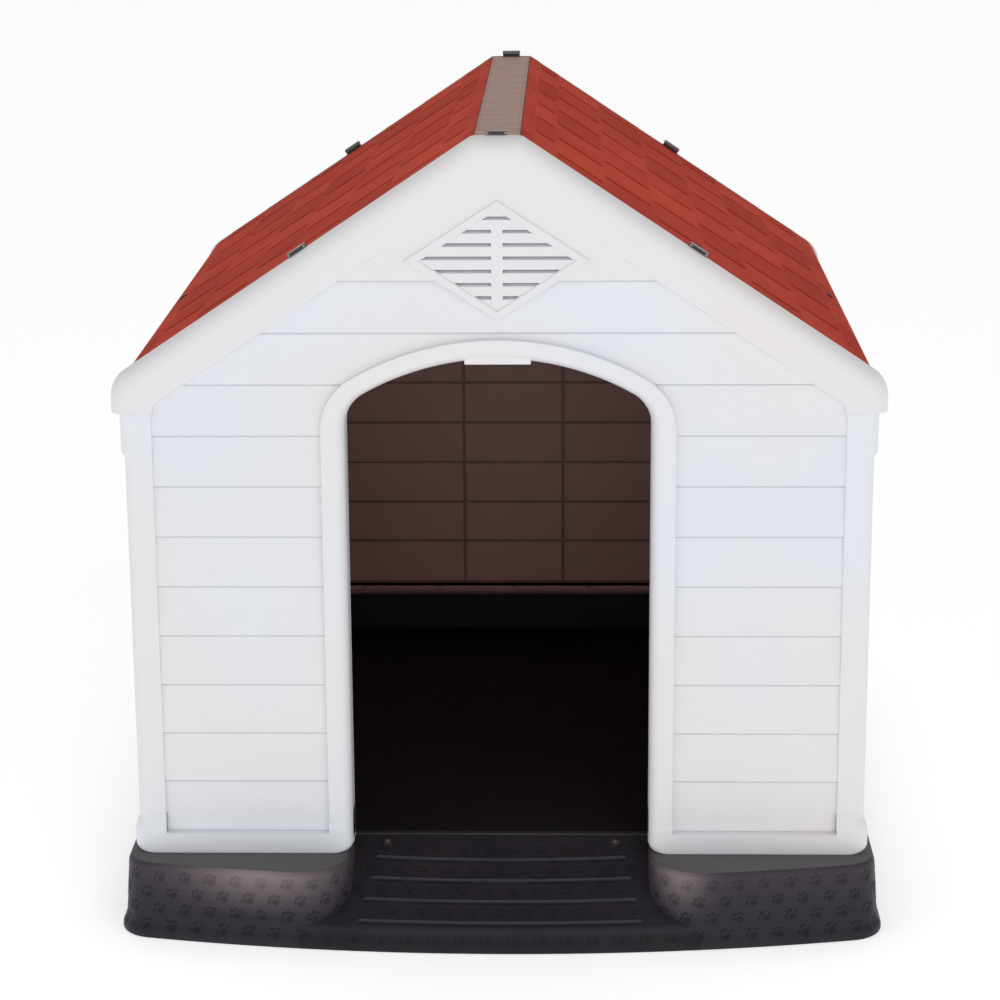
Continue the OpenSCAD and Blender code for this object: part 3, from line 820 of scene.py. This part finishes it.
def doorFrame():
    y = house["frontY"]
    r = 14.0
    f = y - house["footOut"] + 1
    path = [(0, y + 40), (0, f + r)]
    path += [(r * (1 - math.cos(a)), f + r * (1 - math.sin(a)))
             for a in [math.radians(k * 10) for k in range(1, 10)]]
    path += [(doorway["frame"] - 2.6, f), (doorway["frame"] - 1.0, f + 0.4), (doorway["frame"], f + 1.6)]
    path += [(doorway["frame"] + 0.2, skinY + 2)]
    rings = [[(x, yy, z) for x, z in doorLine(g, 118)] for g, yy in path]
    Shape().loft(rings).piece("doorFrame", wallWhite, stands=["front_wall"])
    half, deep = doorway["half"], y + 40
    for s in (-1, 1):
        box = box3(s, half, half + house["sheet"], f + 20, deep, house["ledge"] + 8, 120)
        Shape().block(*box).piece("doorJamb" + str(s + 1), wallWhite, stands=["front_wall"])
    turns = ((0, deep), (4.5, deep), (4.5, skinY + house["sheet"]))
    lining = [[(x, yy, z) for x, z in doorLine(g, 106)] for g, yy in turns]
    Shape().loft(lining).piece("doorLining", wallWhite, stands=["front_wall"])
    tab = Shape().block((-40, f + 4, 726.5), (40, f + 10, 736))
    soften(tab.piece("doorTab", wallWhite, stands=["front_wall"]), 0.8)


doorFrame()


rail = {"low": 157.0, "high": 173.0, "depth": 18.0, "cell": 118.0, "web": 3.0}
boss = {"radius": 8.0, "top": 142.0, "inset": 16.0, "gable": (-400, -250, 250, 400), "side": 250.0}


def innerRail(shape, length, place):
    # open cells on the inner face above the tray, drawn along the wall
    low, high, depth = rail["low"], rail["high"], rail["depth"]
    cells = int(length / rail["cell"] / 2)
    top = [(-1, high - 4), (depth, high - 4), (depth, high), (-1, high)]
    lip = [(depth - 3, low + 6), (depth, low + 6), (depth, high), (depth - 3, high)]
    web = [(-1, low), (depth, low), (depth, high), (-1, high)]
    for part in (top, lip):
        shape.prism(part, -length / 2, length / 2, place)
    for i in range(-cells, cells + 1):
        middle = i * rail["cell"]
        shape.prism(web, middle - rail["web"] / 2, middle + rail["web"] / 2, place)


def addBoss(shape, x, y):
    # screw boss standing on the ledge
    shape.standing(arc(x, y, boss["radius"], 0, 345, 23), house["ledge"], boss["top"])


def rearInside():
    back = house["rearY"] - house["recess"] - house["sheet"]
    inside = Shape()
    lines = Shape()
    for x in (-77, 77):
        lines.block((x - 2.5, back - 3, rail["high"]), (x + 2.5, back + 1, house["wallTop"]))
    for i in range(1, siding["rows"] + 1):
        z = siding["first"] + siding["height"] * i - siding["innerDrop"]
        rakeX = roof["ridgeHalf"] + (roof["ridge"] - z - 20) / math.tan(roof["pitch"])
        x = min(postInner - 10, rakeX - 20)
        lines.block((-x, back - 2, z - 1.5), (x, back + 1, z + 1.5))
    innerRail(inside, 832, lambda u, v, h: (h, back - u, v))
    for x in boss["gable"]:
        addBoss(inside, x, house["rearY"] - boss["inset"])
    # the inner rail and bosses carry the painted warm light
    setMask(inside.piece("rearInside", wallWhite, stands=["rear_wall"]), "inside")
    lines = lines.piece("rearLines", wallWhite, stands=["rear_wall"])
    setMask(lines, "inside")
    setMask(lines, "seam", 0.75)
    near = Shape()
    for x in boss["gable"]:
        addBoss(near, x, house["frontY"] + boss["inset"])
    near.piece("frontBosses", wallWhite, stands=["front_wall"])


rearInside()


def sideWall(name, s):
    node = name + "_wall"
    side = house["postHalf"] - house["sheet"] - clearance
    skin = side - siding["lap"] - house["sheet"]
    y0 = house["frontY"] + house["postDepth"] + clearance
    y1 = house["rearY"] - house["postDepth"] - clearance
    face = side - siding["lap"]
    profile = [(-(py - skinY) + face, z) for py, z in boardProfile(skinY, siding["sideRows"])]
    top = house["wallTop"] - 10  # the roof's skirt hides the rest
    boards = Shape().prism(profile, y0, y1, lambda u, v, h: (s * u, h, min(v, top)))
    boards = boards.piece(name + "Boards", wallWhite, stands=[node])
    setMask(boards, "grain")
    lineMask(boards, lambda p: abs(p.x) - face)
    tintInside(boards, lambda p: abs(p.x) < skin + 0.1)
    rest = Shape()
    ledge = house["ledge"]
    rest.block(*box3(s, skin, skin + house["sheet"], house["frontY"] + 12, house["rearY"] - 12,
                     ledge, house["wallTop"]))
    foot = Shape().block(*box3(s, skin, side + house["footOut"], y0, y1, ledge, house["panelBottom"]))
    soften(foot.piece(name + "Foot", wallWhite, stands=[node]), 2)
    section = flangeSection(lambda px: flange["sideFrom"] <= px <= flange["sideTo"])
    rest.upright([(s * px, pz) for px, pz in section], innerFront, innerRear)
    innerRail(rest, 840, lambda u, v, h: (s * (skin - u), midY + h, v))
    for y in (midY - boss["side"], midY + boss["side"]):
        addBoss(rest, s * (skin - 7), y)
    rest = rest.piece(name + "Skin", wallWhite, stands=[node])
    for place in clipPlaces():
        if place["eave"] and place["side"] == s:
            carve(rest, clipHole(place, *flange["slack"]))
    tintInside(rest, lambda p: abs(p.x) < skin + 3)


sideWall("left", -1)
sideWall("right", 1)
print("side walls ready")


shingle = {
    "length": 140.0,
    "courses": [16, 50, 122, 196, 268, 336, 413, 480],
    "groove": 11.0,
    # rim is the width of the painted shadow strip at the rear edge
    "rim": 6.0,
    "depth": 1.6,
    "step": 0.8,
    "firstEven": 83.0,
    "firstOdd": 13.0,
    "hole": (1.2, 1.0),
}


def roofPanel(name, s):
    # section from the ridge down the slope, round the eave and down the skirt
    x0 = roof["ridgeHalf"] + clearance
    pitch = roof["pitch"]
    cx = roof["half"] - roof["eaveRadius"]
    cz = roof["ridge"] - (cx - roof["ridgeHalf"]) * math.tan(pitch) - roof["eaveRadius"] / math.cos(pitch)
    endX = cx + roof["eaveRadius"] * math.sin(pitch)
    slope = (endX - x0) / math.cos(pitch)
    steps = sorted(set(
        [round(v, 2) for v in np.arange(0, slope, 9.0)]
        + [c + e for c in shingle["courses"] for e in (-1.6, 0, 1.6) if c + e < slope - 1]
        + [slope]))
    line = []
    for d in steps:
        x = x0 + d * math.cos(pitch)
        line.append((x, roof["ridge"] - (x - roof["ridgeHalf"]) * math.tan(pitch), d))
    for k in range(1, 11):
        a = math.radians(90 - math.degrees(pitch) - (90 - math.degrees(pitch)) * k / 10)
        line.append((cx + roof["eaveRadius"] * math.cos(a), cz + roof["eaveRadius"] * math.sin(a),
                     slope + roof["eaveRadius"] * (math.radians(90) - pitch - a)))
    line.append((roof["half"], roof["skirt"] + 6, line[-1][2] + cz - roof["skirt"] - 6))
    line.append((roof["half"], roof["skirt"], line[-1][2] + 6))
    grooves = {0: [], 1: []}
    for odd, first in ((0, shingle["firstEven"]), (1, shingle["firstOdd"])):
        grooves[odd] = [roof["front"] + first + shingle["length"] * i for i in range(7)
                        if roof["front"] + first + shingle["length"] * i < roof["rear"] - 8]
    half = shingle["groove"] / 2
    across = {roof["front"], roof["rear"], roof["front"] + 2, roof["rear"] - 2}
    across |= {roof["rear"] - shingle["rim"], roof["rear"] - shingle["rim"] - 0.6}
    for g in grooves[0] + grooves[1]:
        across |= {g - half - 0.5, g - half + 0.6, g, g + half - 0.6, g + half + 0.5}
    across |= set(np.arange(roof["front"] + 20, roof["rear"] - 15, 23.35))
    across = sorted(across)
    points, depth, tone, rim = [], [], [], []
    courses = shingle["courses"]
    for x, z, d in line:
        course = sum(1 for c in courses if d > c)
        inside = 0 < course < len(courses)
        start = courses[course - 1] if inside else 0
        stop = courses[course] if inside else 0
        run = (d - start) / (stop - start) if inside else 0
        normal = (math.sin(pitch), math.cos(pitch))
        for y in across:
            cut = 0.0
            if inside and start + 2 < d < stop - 2:
                gap = min(abs(y - g) for g in grooves[course % 2])
                cut = 1.0 if gap < half - 0.3 else 0.0
            drop = shingle["step"] * (1 - run) if inside else 0.0
            if d > courses[-1]:
                drop = shingle["step"]
            fall = cut * shingle["depth"] + drop
            points.append((s * (x - fall * normal[0]), y, z - fall * normal[1]))
            # cut also marks where the groove shade is painted
            depth.append(cut)
            # the last strip before the rear edge takes the painted shadow
            rim.append(1.0 if y > roof["rear"] - shingle["rim"] - 0.1 else 0.0)
            nth = sum(1 for g in grooves[course % 2] if y > g)
            tone.append(((course * 37 + nth * 61) % 17) / 17)
    n = len(across)
    faces = []
    for r in range(len(line) - 1):
        for c in range(n - 1):
            faces.append([r * n + c, r * n + c + 1, (r + 1) * n + c + 1, (r + 1) * n + c])
    panel = addPiece(name + "RoofPanel", points, faces, roofRed, body="roof",
                     stands=[name + "_roof"], crease=30, masks={"groove": depth, "tone": tone, "rim": rim})
    panel.modifiers.clear()
    # the sheet is thickened inward
    work = bmesh.new()
    work.from_mesh(panel.data)
    middle = sum((f.normal for f in work.faces), Vector())
    if middle.z < 0:
        bmesh.ops.reverse_faces(work, faces=work.faces)
    work.to_mesh(panel.data)
    work.free()
    thick = panel.modifiers.new("thickness", "SOLIDIFY")
    thick.thickness = house["sheet"] * mm
    thick.offset = -1
    graph = bpy.context.evaluated_depsgraph_get()
    mesh = bpy.data.meshes.new_from_object(panel.evaluated_get(graph))
    panel.modifiers.clear()
    panel.data = mesh
    panel.data.set_sharp_from_angle(angle=math.radians(30))
    for place in clipPlaces():
        if place["side"] == s:
            carve(panel, clipHole(place, *shingle["hole"]))
    return panel


roofPanel("left", -1)
roofPanel("right", 1)
print("roof panels ready")


def ridgeCap():
    cap = Shape()
    h = roof["ridgeHalf"]
    edge = [(12, 0), (h - 6.5, 0), (h - 5, 0), (h - 1.8, 0), (h - 0.5, -0.5), (h, -1.6)]
    profile = [(-x, dz) for x, dz in reversed(edge)] + [(0, 0)] + edge
    profile += [(h, -house["sheet"]), (-h, -house["sheet"])]
    line = [(x, roof["ridge"] + dz) for x, dz in profile]
    ys = [roof["front"], roof["front"] + 0.8, roof["front"] + 10]
    ys += list(np.linspace(roof["front"] + 20, roof["rear"] - 20, 30))
    ys += [roof["rear"] - 6.6, roof["rear"] - 6, roof["rear"] - 0.8, roof["rear"]]
    rings = [[(x, y, z) for x, z in line] for y in ys]
    cap.loft(rings, closed=True)
    n = len(line)
    for start in (0, (len(ys) - 1) * n):
        cap.faces.append([start + i for i in range(n)])
    rim = [1.0 if abs(p[0]) > h - 6 or p[1] < roof["front"] + 11 else 0.0 for p in cap.points]
    # dark marks where the painted shade goes
    dark = [1.0 if abs(p[0]) > h - 1.5 or p[1] > roof["rear"] - 6.1 else 0.0 for p in cap.points]
    piece = addPiece("ridgeCapTop", cap.points, cap.faces, capTaupe, body="roof",
                     stands=["ridge_cap"], masks={"rim": rim, "dark": dark})
    for place in clipPlaces():
        if place["side"] == 0:
            carve(piece, clipHole(place, *shingle["hole"]))
    lips = Shape()
    for s in (-1, 1):
        lips.block(*box3(s, 22, 26, innerFront, innerRear, roof["ridge"] - 24, roof["ridge"] - 3))
        lips.block(*box3(s, 22, 31, innerFront, innerRear, roof["ridge"] - 24, roof["ridge"] - 21))
    lips.piece("ridgeCapLips", capTaupe, body="roof", stands=["ridge_cap"])


ridgeCap()


def makeClips():
    l = clip["length"] / 2
    front, back = clip["front"], clip["back"]
    middle, w = (front + back) / 2, (back - front) / 2
    low, h = clip["underside"], clip["height"]
    for place in clipPlaces():
        shape = Shape()
        rim = []
        if place["eave"]:
            el, ew, eh = clip["eaveSize"]
            rings = [roundedBox(el / 2 - g, ew / 2 - g, 1.2, z) for g, z in ((0, 0.2), (0, 1.2), (0.5, eh))]
            tl, tt, th = clip["eaveTongue"]
            rim = [0.1] * (3 * len(rings[0]))
        else:
            # a cap that reaches over the hood, with a sunk face between two pale studs
            rings = [roundedBox(l - g, w - g, 1.6, z, middle)
                     for g, z in ((0.6, low), (0, low + 0.7), (0, h - 1.0), (0.3, h - 0.3), (1.0, h))]
            tl, tt, th = clip["tongue"]
            rim = [0.30] * (5 * len(rings[0]))
        n = len(rings[0])
        shape.loft(rings, closed=True)
        shape.faces.append(list(range(n)))
        shape.faces.append([(len(rings) - 1) * n + i for i in range(n)])
        if not place["eave"]:
            shape.block((-l + 3.6, front - 0.25, low + 0.9), (l - 3.6, front + 1, h - 1.1))
            rim += [0.0] * 8
            for e in (-1, 1):
                x0, x1 = sorted((e * (l - 3.0), e * (l - 1.2)))
                shape.block((x0, front - 0.3, low + 0.9), (x1, front + 1, h - 1.6))
                rim += [1.0] * 8
            shape.block((-l + 0.5, 1 - clip["setback"], 0.2), (l - 0.5, back - 0.3, low + 0.5))
            rim += [0.0] * 8
        shape.block((-tl / 2, -tt / 2, -th), (tl / 2, tt / 2, 0.4))
        rim += [0.0] * 8
        if place["y"] > midY and not place["eave"]:
            shape.points = [(x, -y, z) for x, y, z in shape.points]
        placed(shape, onRoof(place))
        addPiece(place["body"].replace("_", "") + "Piece", shape.points, shape.faces, clipBlack,
                 body=place["body"], stands=[place["body"]], masks={"rim": rim})


def roundedBox(l, w, r, z, shift=0.0):
    points = []
    for cx, cy, a in ((l - r, w - r, 0), (-l + r, w - r, 90), (-l + r, -w + r, 180), (l - r, -w + r, 270)):
        points += [(x, y + shift, z) for x, y in arc(cx, cy, r, a, a + 90, 5)]
    return points


makeClips()
print("roof fittings ready")


base = {
    "half": 480.0,
    "bowRadius": 2150.0,
    "bow": 93.0,
    "corner": 45.0,
    "rear": 15.0,
    "lip": 30.0,
    "sillY": -380.0,
    "noseX": 250.0,
    "noseY": -446.0,
    "grid": 1.7,
    "pawAcross": 33.0,
    "pawUp": 21.0,
    "pawDepth": 0.9,
    "pawLean": 28.0,
    "pawStart": 8.0,
    "pawSpots": (
        (0, -3.0, 5.0, 4.3),
        (-6.8, 1.0, 2.2, 2.9),
        (-2.6, 5.2, 2.3, 3.0),
        (2.6, 5.2, 2.3, 3.0),
        (6.8, 1.0, 2.2, 2.9),
    ),
    "noseTip": -508.6,
    "rows": 62,
    "deckInside": ((-460, -376, 94), (460, 520, 96.5)),
    "ribs": (44.2, 35.4, 4),
    "ribBow": 7.0,
}
bowC = house["frontY"] - base["bow"] + base["bowRadius"]
lipY = house["frontY"] - base["bow"] + 8
rampRise = (house["ledge"] - base["lip"]) / (base["sillY"] - lipY)
# inset of the skirt at each height
skirtCurve = [(0, 2.2), (1.2, 0.8), (3, 0.1), (6, 0), (9, 0.3), (12, 1.4), (15, 3.2), (18, 4.6),
              (22, 5.3), (30, 5.9), (64, 8.0), (88, 9.6), (92, 10.1), (94.4, 11.1), (96.2, 12.8),
              (97.3, 15.0), (97.85, 17.2), (98, 19.5)]
topInset = skirtCurve[-1][1]


def skirtInset(z):
    zs = [p[0] for p in skirtCurve]
    return np.interp(z, zs, [p[1] for p in skirtCurve])


def frontOfBase(x, inset):
    r = base["bowRadius"] - inset
    return bowC - math.sqrt(r * r - x * x)


def evenSteps(length, step):
    return max(2, int(round(length / step)))


def ledgePath(inset):
    # closed outline of the ledge at an inset: left half from the sill, then mirrored
    r = base["bowRadius"] - inset
    rc = base["corner"] - inset / 2
    sx = base["half"] - inset
    fx = sx - rc
    fy = bowC - math.sqrt((r - rc) ** 2 - fx * fx)
    a = math.degrees(math.atan2(fy - bowC, fx))
    nx, ny = base["noseX"], base["noseY"]
    rn = ny - frontOfBase(nx, inset)
    ry = house["rearY"] + base["rear"] - inset
    g = base["grid"]
    half = []
    n = evenSteps(187, g * 3)
    half += [((nx - rn) * i / n, base["sillY"], 1) for i in range(n)]
    n = evenSteps(66, g)
    half += [(nx - rn, base["sillY"] + (ny - base["sillY"]) * i / n, 1) for i in range(n)]
    n = evenSteps(97, g)
    half += [(nx + rn * math.cos(t), ny + rn * math.sin(t), 1)
             for t in [math.radians(180 + 90 * i / n) for i in range(n + 1)]]
    n = evenSteps(185, g)
    a0 = math.degrees(math.asin(nx / r))
    a1 = 90 + a
    half += [(r * math.sin(t), bowC - r * math.cos(t), 0)
             for t in [math.radians(a0 + (a1 - a0) * i / n) for i in range(n)]]
    n = evenSteps(66, g)
    half += [(fx + rc * math.cos(t), fy + rc * math.sin(t), 0)
             for t in [math.radians(a + (0 - a) * i / n) for i in range(n)]]
    n = evenSteps(970, g)
    half += [(sx, fy + (ry - rc - fy) * i / n, 0) for i in range(n)]
    n = evenSteps(70, g)
    half += [(sx - rc + rc * math.cos(t), ry - rc + rc * math.sin(t), 0)
             for t in [math.radians(90 * i / n) for i in range(n)]]
    n = evenSteps(435, g)
    half += [((sx - rc) * (1 - i / n), ry, 0) for i in range(n + 1)]
    other = [(-x, y, k) for x, y, k in half[1:-1]]
    return np.array(half + list(reversed(other)))


def pawMask(u, v, up):
    # staggered prints on a flat grid: how deep inside a print, and how near its upper edge, where a
    # highlight is painted
    across = base["pawAcross"]
    row = np.floor(v / up)
    shift = (row % 2) * 0.5 * across
    du = (u - shift) - (np.floor((u - shift) / across) + 0.5) * across
    dv = v - (row + 0.5) * up
    lean = math.radians(base["pawLean"])
    pu = du * math.cos(lean) + dv * math.sin(lean)
    pv = -du * math.sin(lean) + dv * math.cos(lean)
    mask = np.zeros_like(u)
    edge = np.zeros_like(u)
    for cx, cy, rx, ry in base["pawSpots"]:
        reach = np.sqrt(((pu - cx) / rx) ** 2 + ((pv - cy) / ry) ** 2)
        mask = np.maximum(mask, np.clip((1.12 - reach) / 0.3, 0, 1))
        edge = np.maximum(edge, np.clip(1 - np.abs(reach - 1.2) / 0.22, 0, 1) * (pv - cy > 0))
    return mask, edge * (1 - mask)


def rampHeight(x, y):
    # the ramp's surface, bowed at its lip and straight at the sill
    low = np.array([frontOfBase(abs(v), 0) + 8 for v in np.atleast_1d(x)])
    t = (y - low) / (base["sillY"] - low)
    return base["lip"] + (house["ledge"] - base["lip"]) * t


def skirtWall():
    low = ledgePath(0)
    n = len(low)
    notch = low[:, 2] > 0.5
    bottom = np.zeros(n)
    foot = ledgePath(7.0)
    bottom[notch] = np.clip(rampHeight(foot[notch, 0], foot[notch, 1]) - 1.5, 22, 97.9)
    ring = ledgePath(8.0)
    step = np.hypot(*(np.roll(ring[:, :2], -1, 0) - ring[:, :2]).T)
    middle = int(np.argmax(ring[:, 1]))
    along = np.concatenate([[0], np.cumsum(step)[:-1]])
    total = step.sum()
    nose = int(np.argmin(np.hypot(ring[:, 0] - base["noseX"], ring[:, 1] - base["noseTip"])))
    shift = base["noseX"] - along[nose]
    along = np.where(np.arange(n) <= middle, along + shift, -(total - along + shift))
    zs = np.unique(np.concatenate([[p[0] for p in skirtCurve], np.linspace(0, 98, base["rows"])]))
    insets = np.linspace(0, topInset, 60)
    stack = np.stack([ledgePath(v)[:, :2] for v in insets])
    points, paws, edges = [], [], []
    for z in zs:
        zc = bottom + (98 - bottom) * (z / 98)
        inset = skirtInset(zc)
        inset = np.where(notch & (bottom > 97), topInset, inset)
        k = np.clip(np.searchsorted(insets, inset) - 1, 0, len(insets) - 2)
        f = (inset - insets[k]) / (insets[k + 1] - insets[k])
        index = np.arange(n)
        xy = stack[k, index] * (1 - f)[:, None] + stack[k + 1, index] * f[:, None]
        points.append(np.column_stack([xy, zc]))
    points = np.array(points)
    # prints are kept off the rounded edges
    tangent = np.roll(ring[:, :2], -1, 0) - np.roll(ring[:, :2], 1, 0)
    tangent /= np.hypot(tangent[:, 0], tangent[:, 1])[:, None]
    outward = np.column_stack([tangent[:, 1], -tangent[:, 0]])
    for r in range(len(zs)):
        z = points[r, :, 2]
        fade = np.clip((93 - z) / 2, 0, 1) * np.clip((z - 3) / 2, 0, 1)
        mask, edge = pawMask(along + 1000 * base["pawAcross"], z - base["pawStart"], base["pawUp"])
        mask, edge = mask * fade, edge * fade
        points[r, :, 0] -= outward[:, 0] * mask * base["pawDepth"]
        points[r, :, 1] -= outward[:, 1] * mask * base["pawDepth"]
        paws.append(mask)
        edges.append(edge)
    flat = points.reshape(-1, 3)
    faces = []
    for r in range(len(zs) - 1):
        a, b = r * n, (r + 1) * n
        for i in range(n):
            j = (i + 1) % n
            if notch[i] and notch[j] and bottom[i] > 97 and bottom[j] > 97:
                continue
            if notch[i] != notch[j]:
                continue
            # the open part of the notch has no wall below the ramp
            faces.append([a + i, a + j, b + j, b + i])
    top = (len(zs) - 1) * n
    faces.append([top + i for i in range(n)])
    mask = np.array(paws).reshape(-1)
    deck = (flat[:, 2] > 97.0).astype(float)
    # painted highlight: sheen near the top of the skirt, strongest in two patches near the noses; the
    # prints fade under it and towards the top
    sheen = np.clip((flat[:, 2] - 35) / 55, 0, 1) ** 1.4 * (1 - deck)
    spread = 0.10 + 0.85 * np.exp(-((flat[:, 0] + 300) / 80) ** 2)
    spread += 0.75 * np.exp(-((flat[:, 0] - 222) / 30) ** 2)
    sheen = sheen * spread
    mask = mask * (1 - 0.55 * sheen) * (1 - 0.45 * np.clip((flat[:, 2] - 50) / 40, 0, 1))
    # painted shade: 0 near the ground, 1 higher up the skirt
    middle = np.clip((flat[:, 2] - 12) / 30, 0, 1)
    return addPiece("baseSkirt", flat, faces, baseBlack, stands=["base"], crease=50,
                    masks={"paw": mask, "deck": deck, "sheen": sheen, "middle": middle,
                           "pawEdge": np.array(edges).reshape(-1)})


skirtWall()


def ramp():
    # front lip, its rounded edge and the sloping ramp with four grip ribs
    nx = base["noseX"] + 4
    g = base["grid"]
    xs = np.linspace(-nx, nx, evenSteps(2 * nx, g) + 1)
    slope = math.atan(rampRise)
    r = 9.0
    # section at the lip: up the skirt, round the edge, then up the ramp
    section = [(float(skirtInset(z)), float(z)) for z in np.linspace(0, 30.5 - r * 0.75, 14)]
    sx, sz = section[-1][0], section[-1][1]
    turn = math.pi / 2 - slope
    for k in range(1, 9):
        a = turn * k / 8
        section.append((sx + r * (1 - math.cos(a)), sz + r * math.sin(a)))
    startIn, startZ = section[-1][0], section[-1][1]
    length = (house["ledge"] - startZ) / math.sin(slope)
    n = evenSteps(length, g)
    lines = [i / n for i in range(1, n + 1)]
    points, paws, edges, tops, rampShades = [], [], [], [], []
    for inset, z in section:
        y = np.array([frontOfBase(abs(x), inset) for x in xs])
        level = np.full_like(xs, z - base["pawStart"])
        mask, edge = pawMask(xs + 1000 * base["pawAcross"], level, base["pawUp"])
        fade = np.clip((sz - z) / 2, 0, 1) * np.clip((z - 3) / 2, 0, 1)
        mask, edge = mask * fade, edge * fade
        points.append(np.column_stack([xs, y + mask * base["pawDepth"], np.full_like(xs, z)]))
        paws.append(mask * 0.6)
        edges.append(edge)
        tops.append(np.zeros_like(xs))
        # painted shade: the low part of the lip is darker
        rampShades.append(np.full_like(xs, 0.45 * min(1, max(0, (26 - z) / 6))))
    yStart = np.array([frontOfBase(abs(x), startIn) for x in xs])
    first, pitch, count = base["ribs"]
    bow = base["ribBow"] * (xs / 165.0) ** 2
    for t in lines:
        y = yStart + (base["sillY"] - yStart) * t
        z = np.full_like(xs, startZ + (house["ledge"] - startZ) * t)
        d = (base["sillY"] - y) / math.cos(slope)
        away = np.full_like(xs, 99.0)
        height = np.zeros_like(xs)
        shade = np.zeros_like(xs)
        for k in range(count):
            ribAt = first + pitch * k - bow
            off = np.abs(d - ribAt) / 2.6
            reach = 160 + 6 * k
            end = np.clip((reach - np.abs(xs)) / 3, 0, 1)
            height = np.maximum(height, np.sqrt(np.clip(1 - off * off, 0, 1)) * 3.0 * end)
            # painted shadow just below each rib
            shade = np.maximum(shade, np.clip(1 - np.abs(d - ribAt - 3.6) / 2.2, 0, 1) * end)
            away = np.minimum(away, np.abs(d - ribAt))
        rowUp = (first - pitch / 2) + pitch * 6.5 - bow - d
        mask, edge = pawMask(xs + 1000 * base["pawAcross"], rowUp, pitch)
        fade = np.clip((away - 4) / 1.5, 0, 1) * np.clip((d - 3) / 2, 0, 1)
        fade = fade * np.clip((length - d - 6) / 3, 0, 1)
        mask, edge = mask * fade, edge * fade
        rise = height - mask * base["pawDepth"] * 0.5
        points.append(np.column_stack([xs, y - rise * math.sin(slope), z + rise * math.cos(slope)]))
        paws.append(mask * 0.6)
        edges.append(edge * 0.4)
        # tops holds the painted highlight on the ribs
        tops.append(height / 3.0)
        rampShades.append(shade)
    n = len(xs)
    flat = np.array(points).reshape(-1, 3)
    flat[:, 2] = np.minimum(flat[:, 2], 99.9)
    faces = []
    for row in range(len(points) - 1):
        for i in range(n - 1):
            a, b = row * n, (row + 1) * n
            middle = (abs(xs[i]) + abs(xs[i + 1])) / 2
            # beyond the noses the skirt's own wall takes over
            if middle > base["noseX"] and row < len(section):
                continue
            faces.append([a + i, a + i + 1, b + i + 1, b + i])
    return addPiece("rampSheet", flat, faces, baseBlack, stands=["base"], crease=50,
                    masks={"paw": np.array(paws).reshape(-1),
                           "pawEdge": np.array(edges).reshape(-1),
                           "ribTop": np.array(tops).reshape(-1),
                           "ribFoot": np.array(rampShades).reshape(-1)})


ramp()


def baseUnderside():
    # inner side of the deck
    under = Shape()
    under.block(*base["deckInside"])
    under.piece("baseDeckInside", baseBlack, stands=["base"])


baseUnderside()
print("base ready")


for name in ("floor_tray", "foot_screws", "corner_screws", "sill_screws"):
    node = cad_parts[name]
    node.data.materials.clear()
    node.data.materials.append(trayBlack if name == "floor_tray" else zinc)

studio = {
    "horizon": 0.95,
    "zenith": 0.28,
    "key": 26.0,
    "fill": 11.0,
    "low": 9.0,
    "floor": (0.93, 0.93, 0.93),
    "floorGlow": 0.48,
    "cameraAt": (0.0846, -3.7339, 1.4407),
    "cameraTurn": (75.003, 0.352, 1.343),
    "lens": 100.8,
}


def makeStudio():
    world = bpy.data.worlds.new("studio")
    bpy.context.scene.world = world
    world.use_nodes = True
    tree = world.node_tree
    place = tree.nodes.new("ShaderNodeTexCoord")
    split = tree.nodes.new("ShaderNodeSeparateXYZ")
    tree.links.new(place.outputs["Generated"], split.inputs[0])
    height = Shade(tree, split.outputs[2])
    level = studio["horizon"] - height * (studio["horizon"] - studio["zenith"])
    tree.nodes["Background"].inputs["Color"].default_value = (1, 1, 1, 1)
    tree.links.new(level.socket, tree.nodes["Background"].inputs["Strength"])
    floor = bmesh.new()
    corners = [floor.verts.new(p) for p in ((-30, -30, 0), (30, -30, 0), (30, 30, 0), (-30, 30, 0))]
    floor.faces.new(corners)
    mesh = bpy.data.meshes.new("floor")
    floor.to_mesh(mesh)
    floor.free()
    plane = bpy.data.objects.new("floor", mesh)
    bpy.context.scene.collection.objects.link(plane)
    paint = Paint("floorPaper", Roughness=0.9, Base_Color=studio["floor"],
                  Emission_Color=(1, 1, 1), Emission_Strength=studio["floorGlow"])
    mesh.materials.append(paint.material)
    for name, place, size, power in (
            ("keyLight", (1.6, -3.4, 3.6), 2.6, studio["key"]),
            ("fillLight", (-3.2, -2.6, 2.6), 2.8, studio["fill"]),
            ("lowLight", (0.3, -4.6, 0.6), 2.4, studio["low"])):
        light = bpy.data.lights.new(name, "AREA")
        light.size = size
        light.energy = power
        lamp = bpy.data.objects.new(name, light)
        lamp.location = place
        aim = Vector((0, 0, 0.45)) - Vector(place)
        lamp.rotation_euler = aim.to_track_quat("-Z", "Y").to_euler()
        bpy.context.scene.collection.objects.link(lamp)
    camera = bpy.data.cameras.new("camera")
    camera.lens = studio["lens"]
    camera.sensor_width = 36
    holder = bpy.data.objects.new("camera", camera)
    holder.location = studio["cameraAt"]
    holder.rotation_euler = Euler([math.radians(a) for a in studio["cameraTurn"]], "XYZ")
    bpy.context.scene.collection.objects.link(holder)
    bpy.context.scene.camera = holder
    bpy.context.scene.view_settings.view_transform = "Standard"


makeStudio()
print("studio ready")
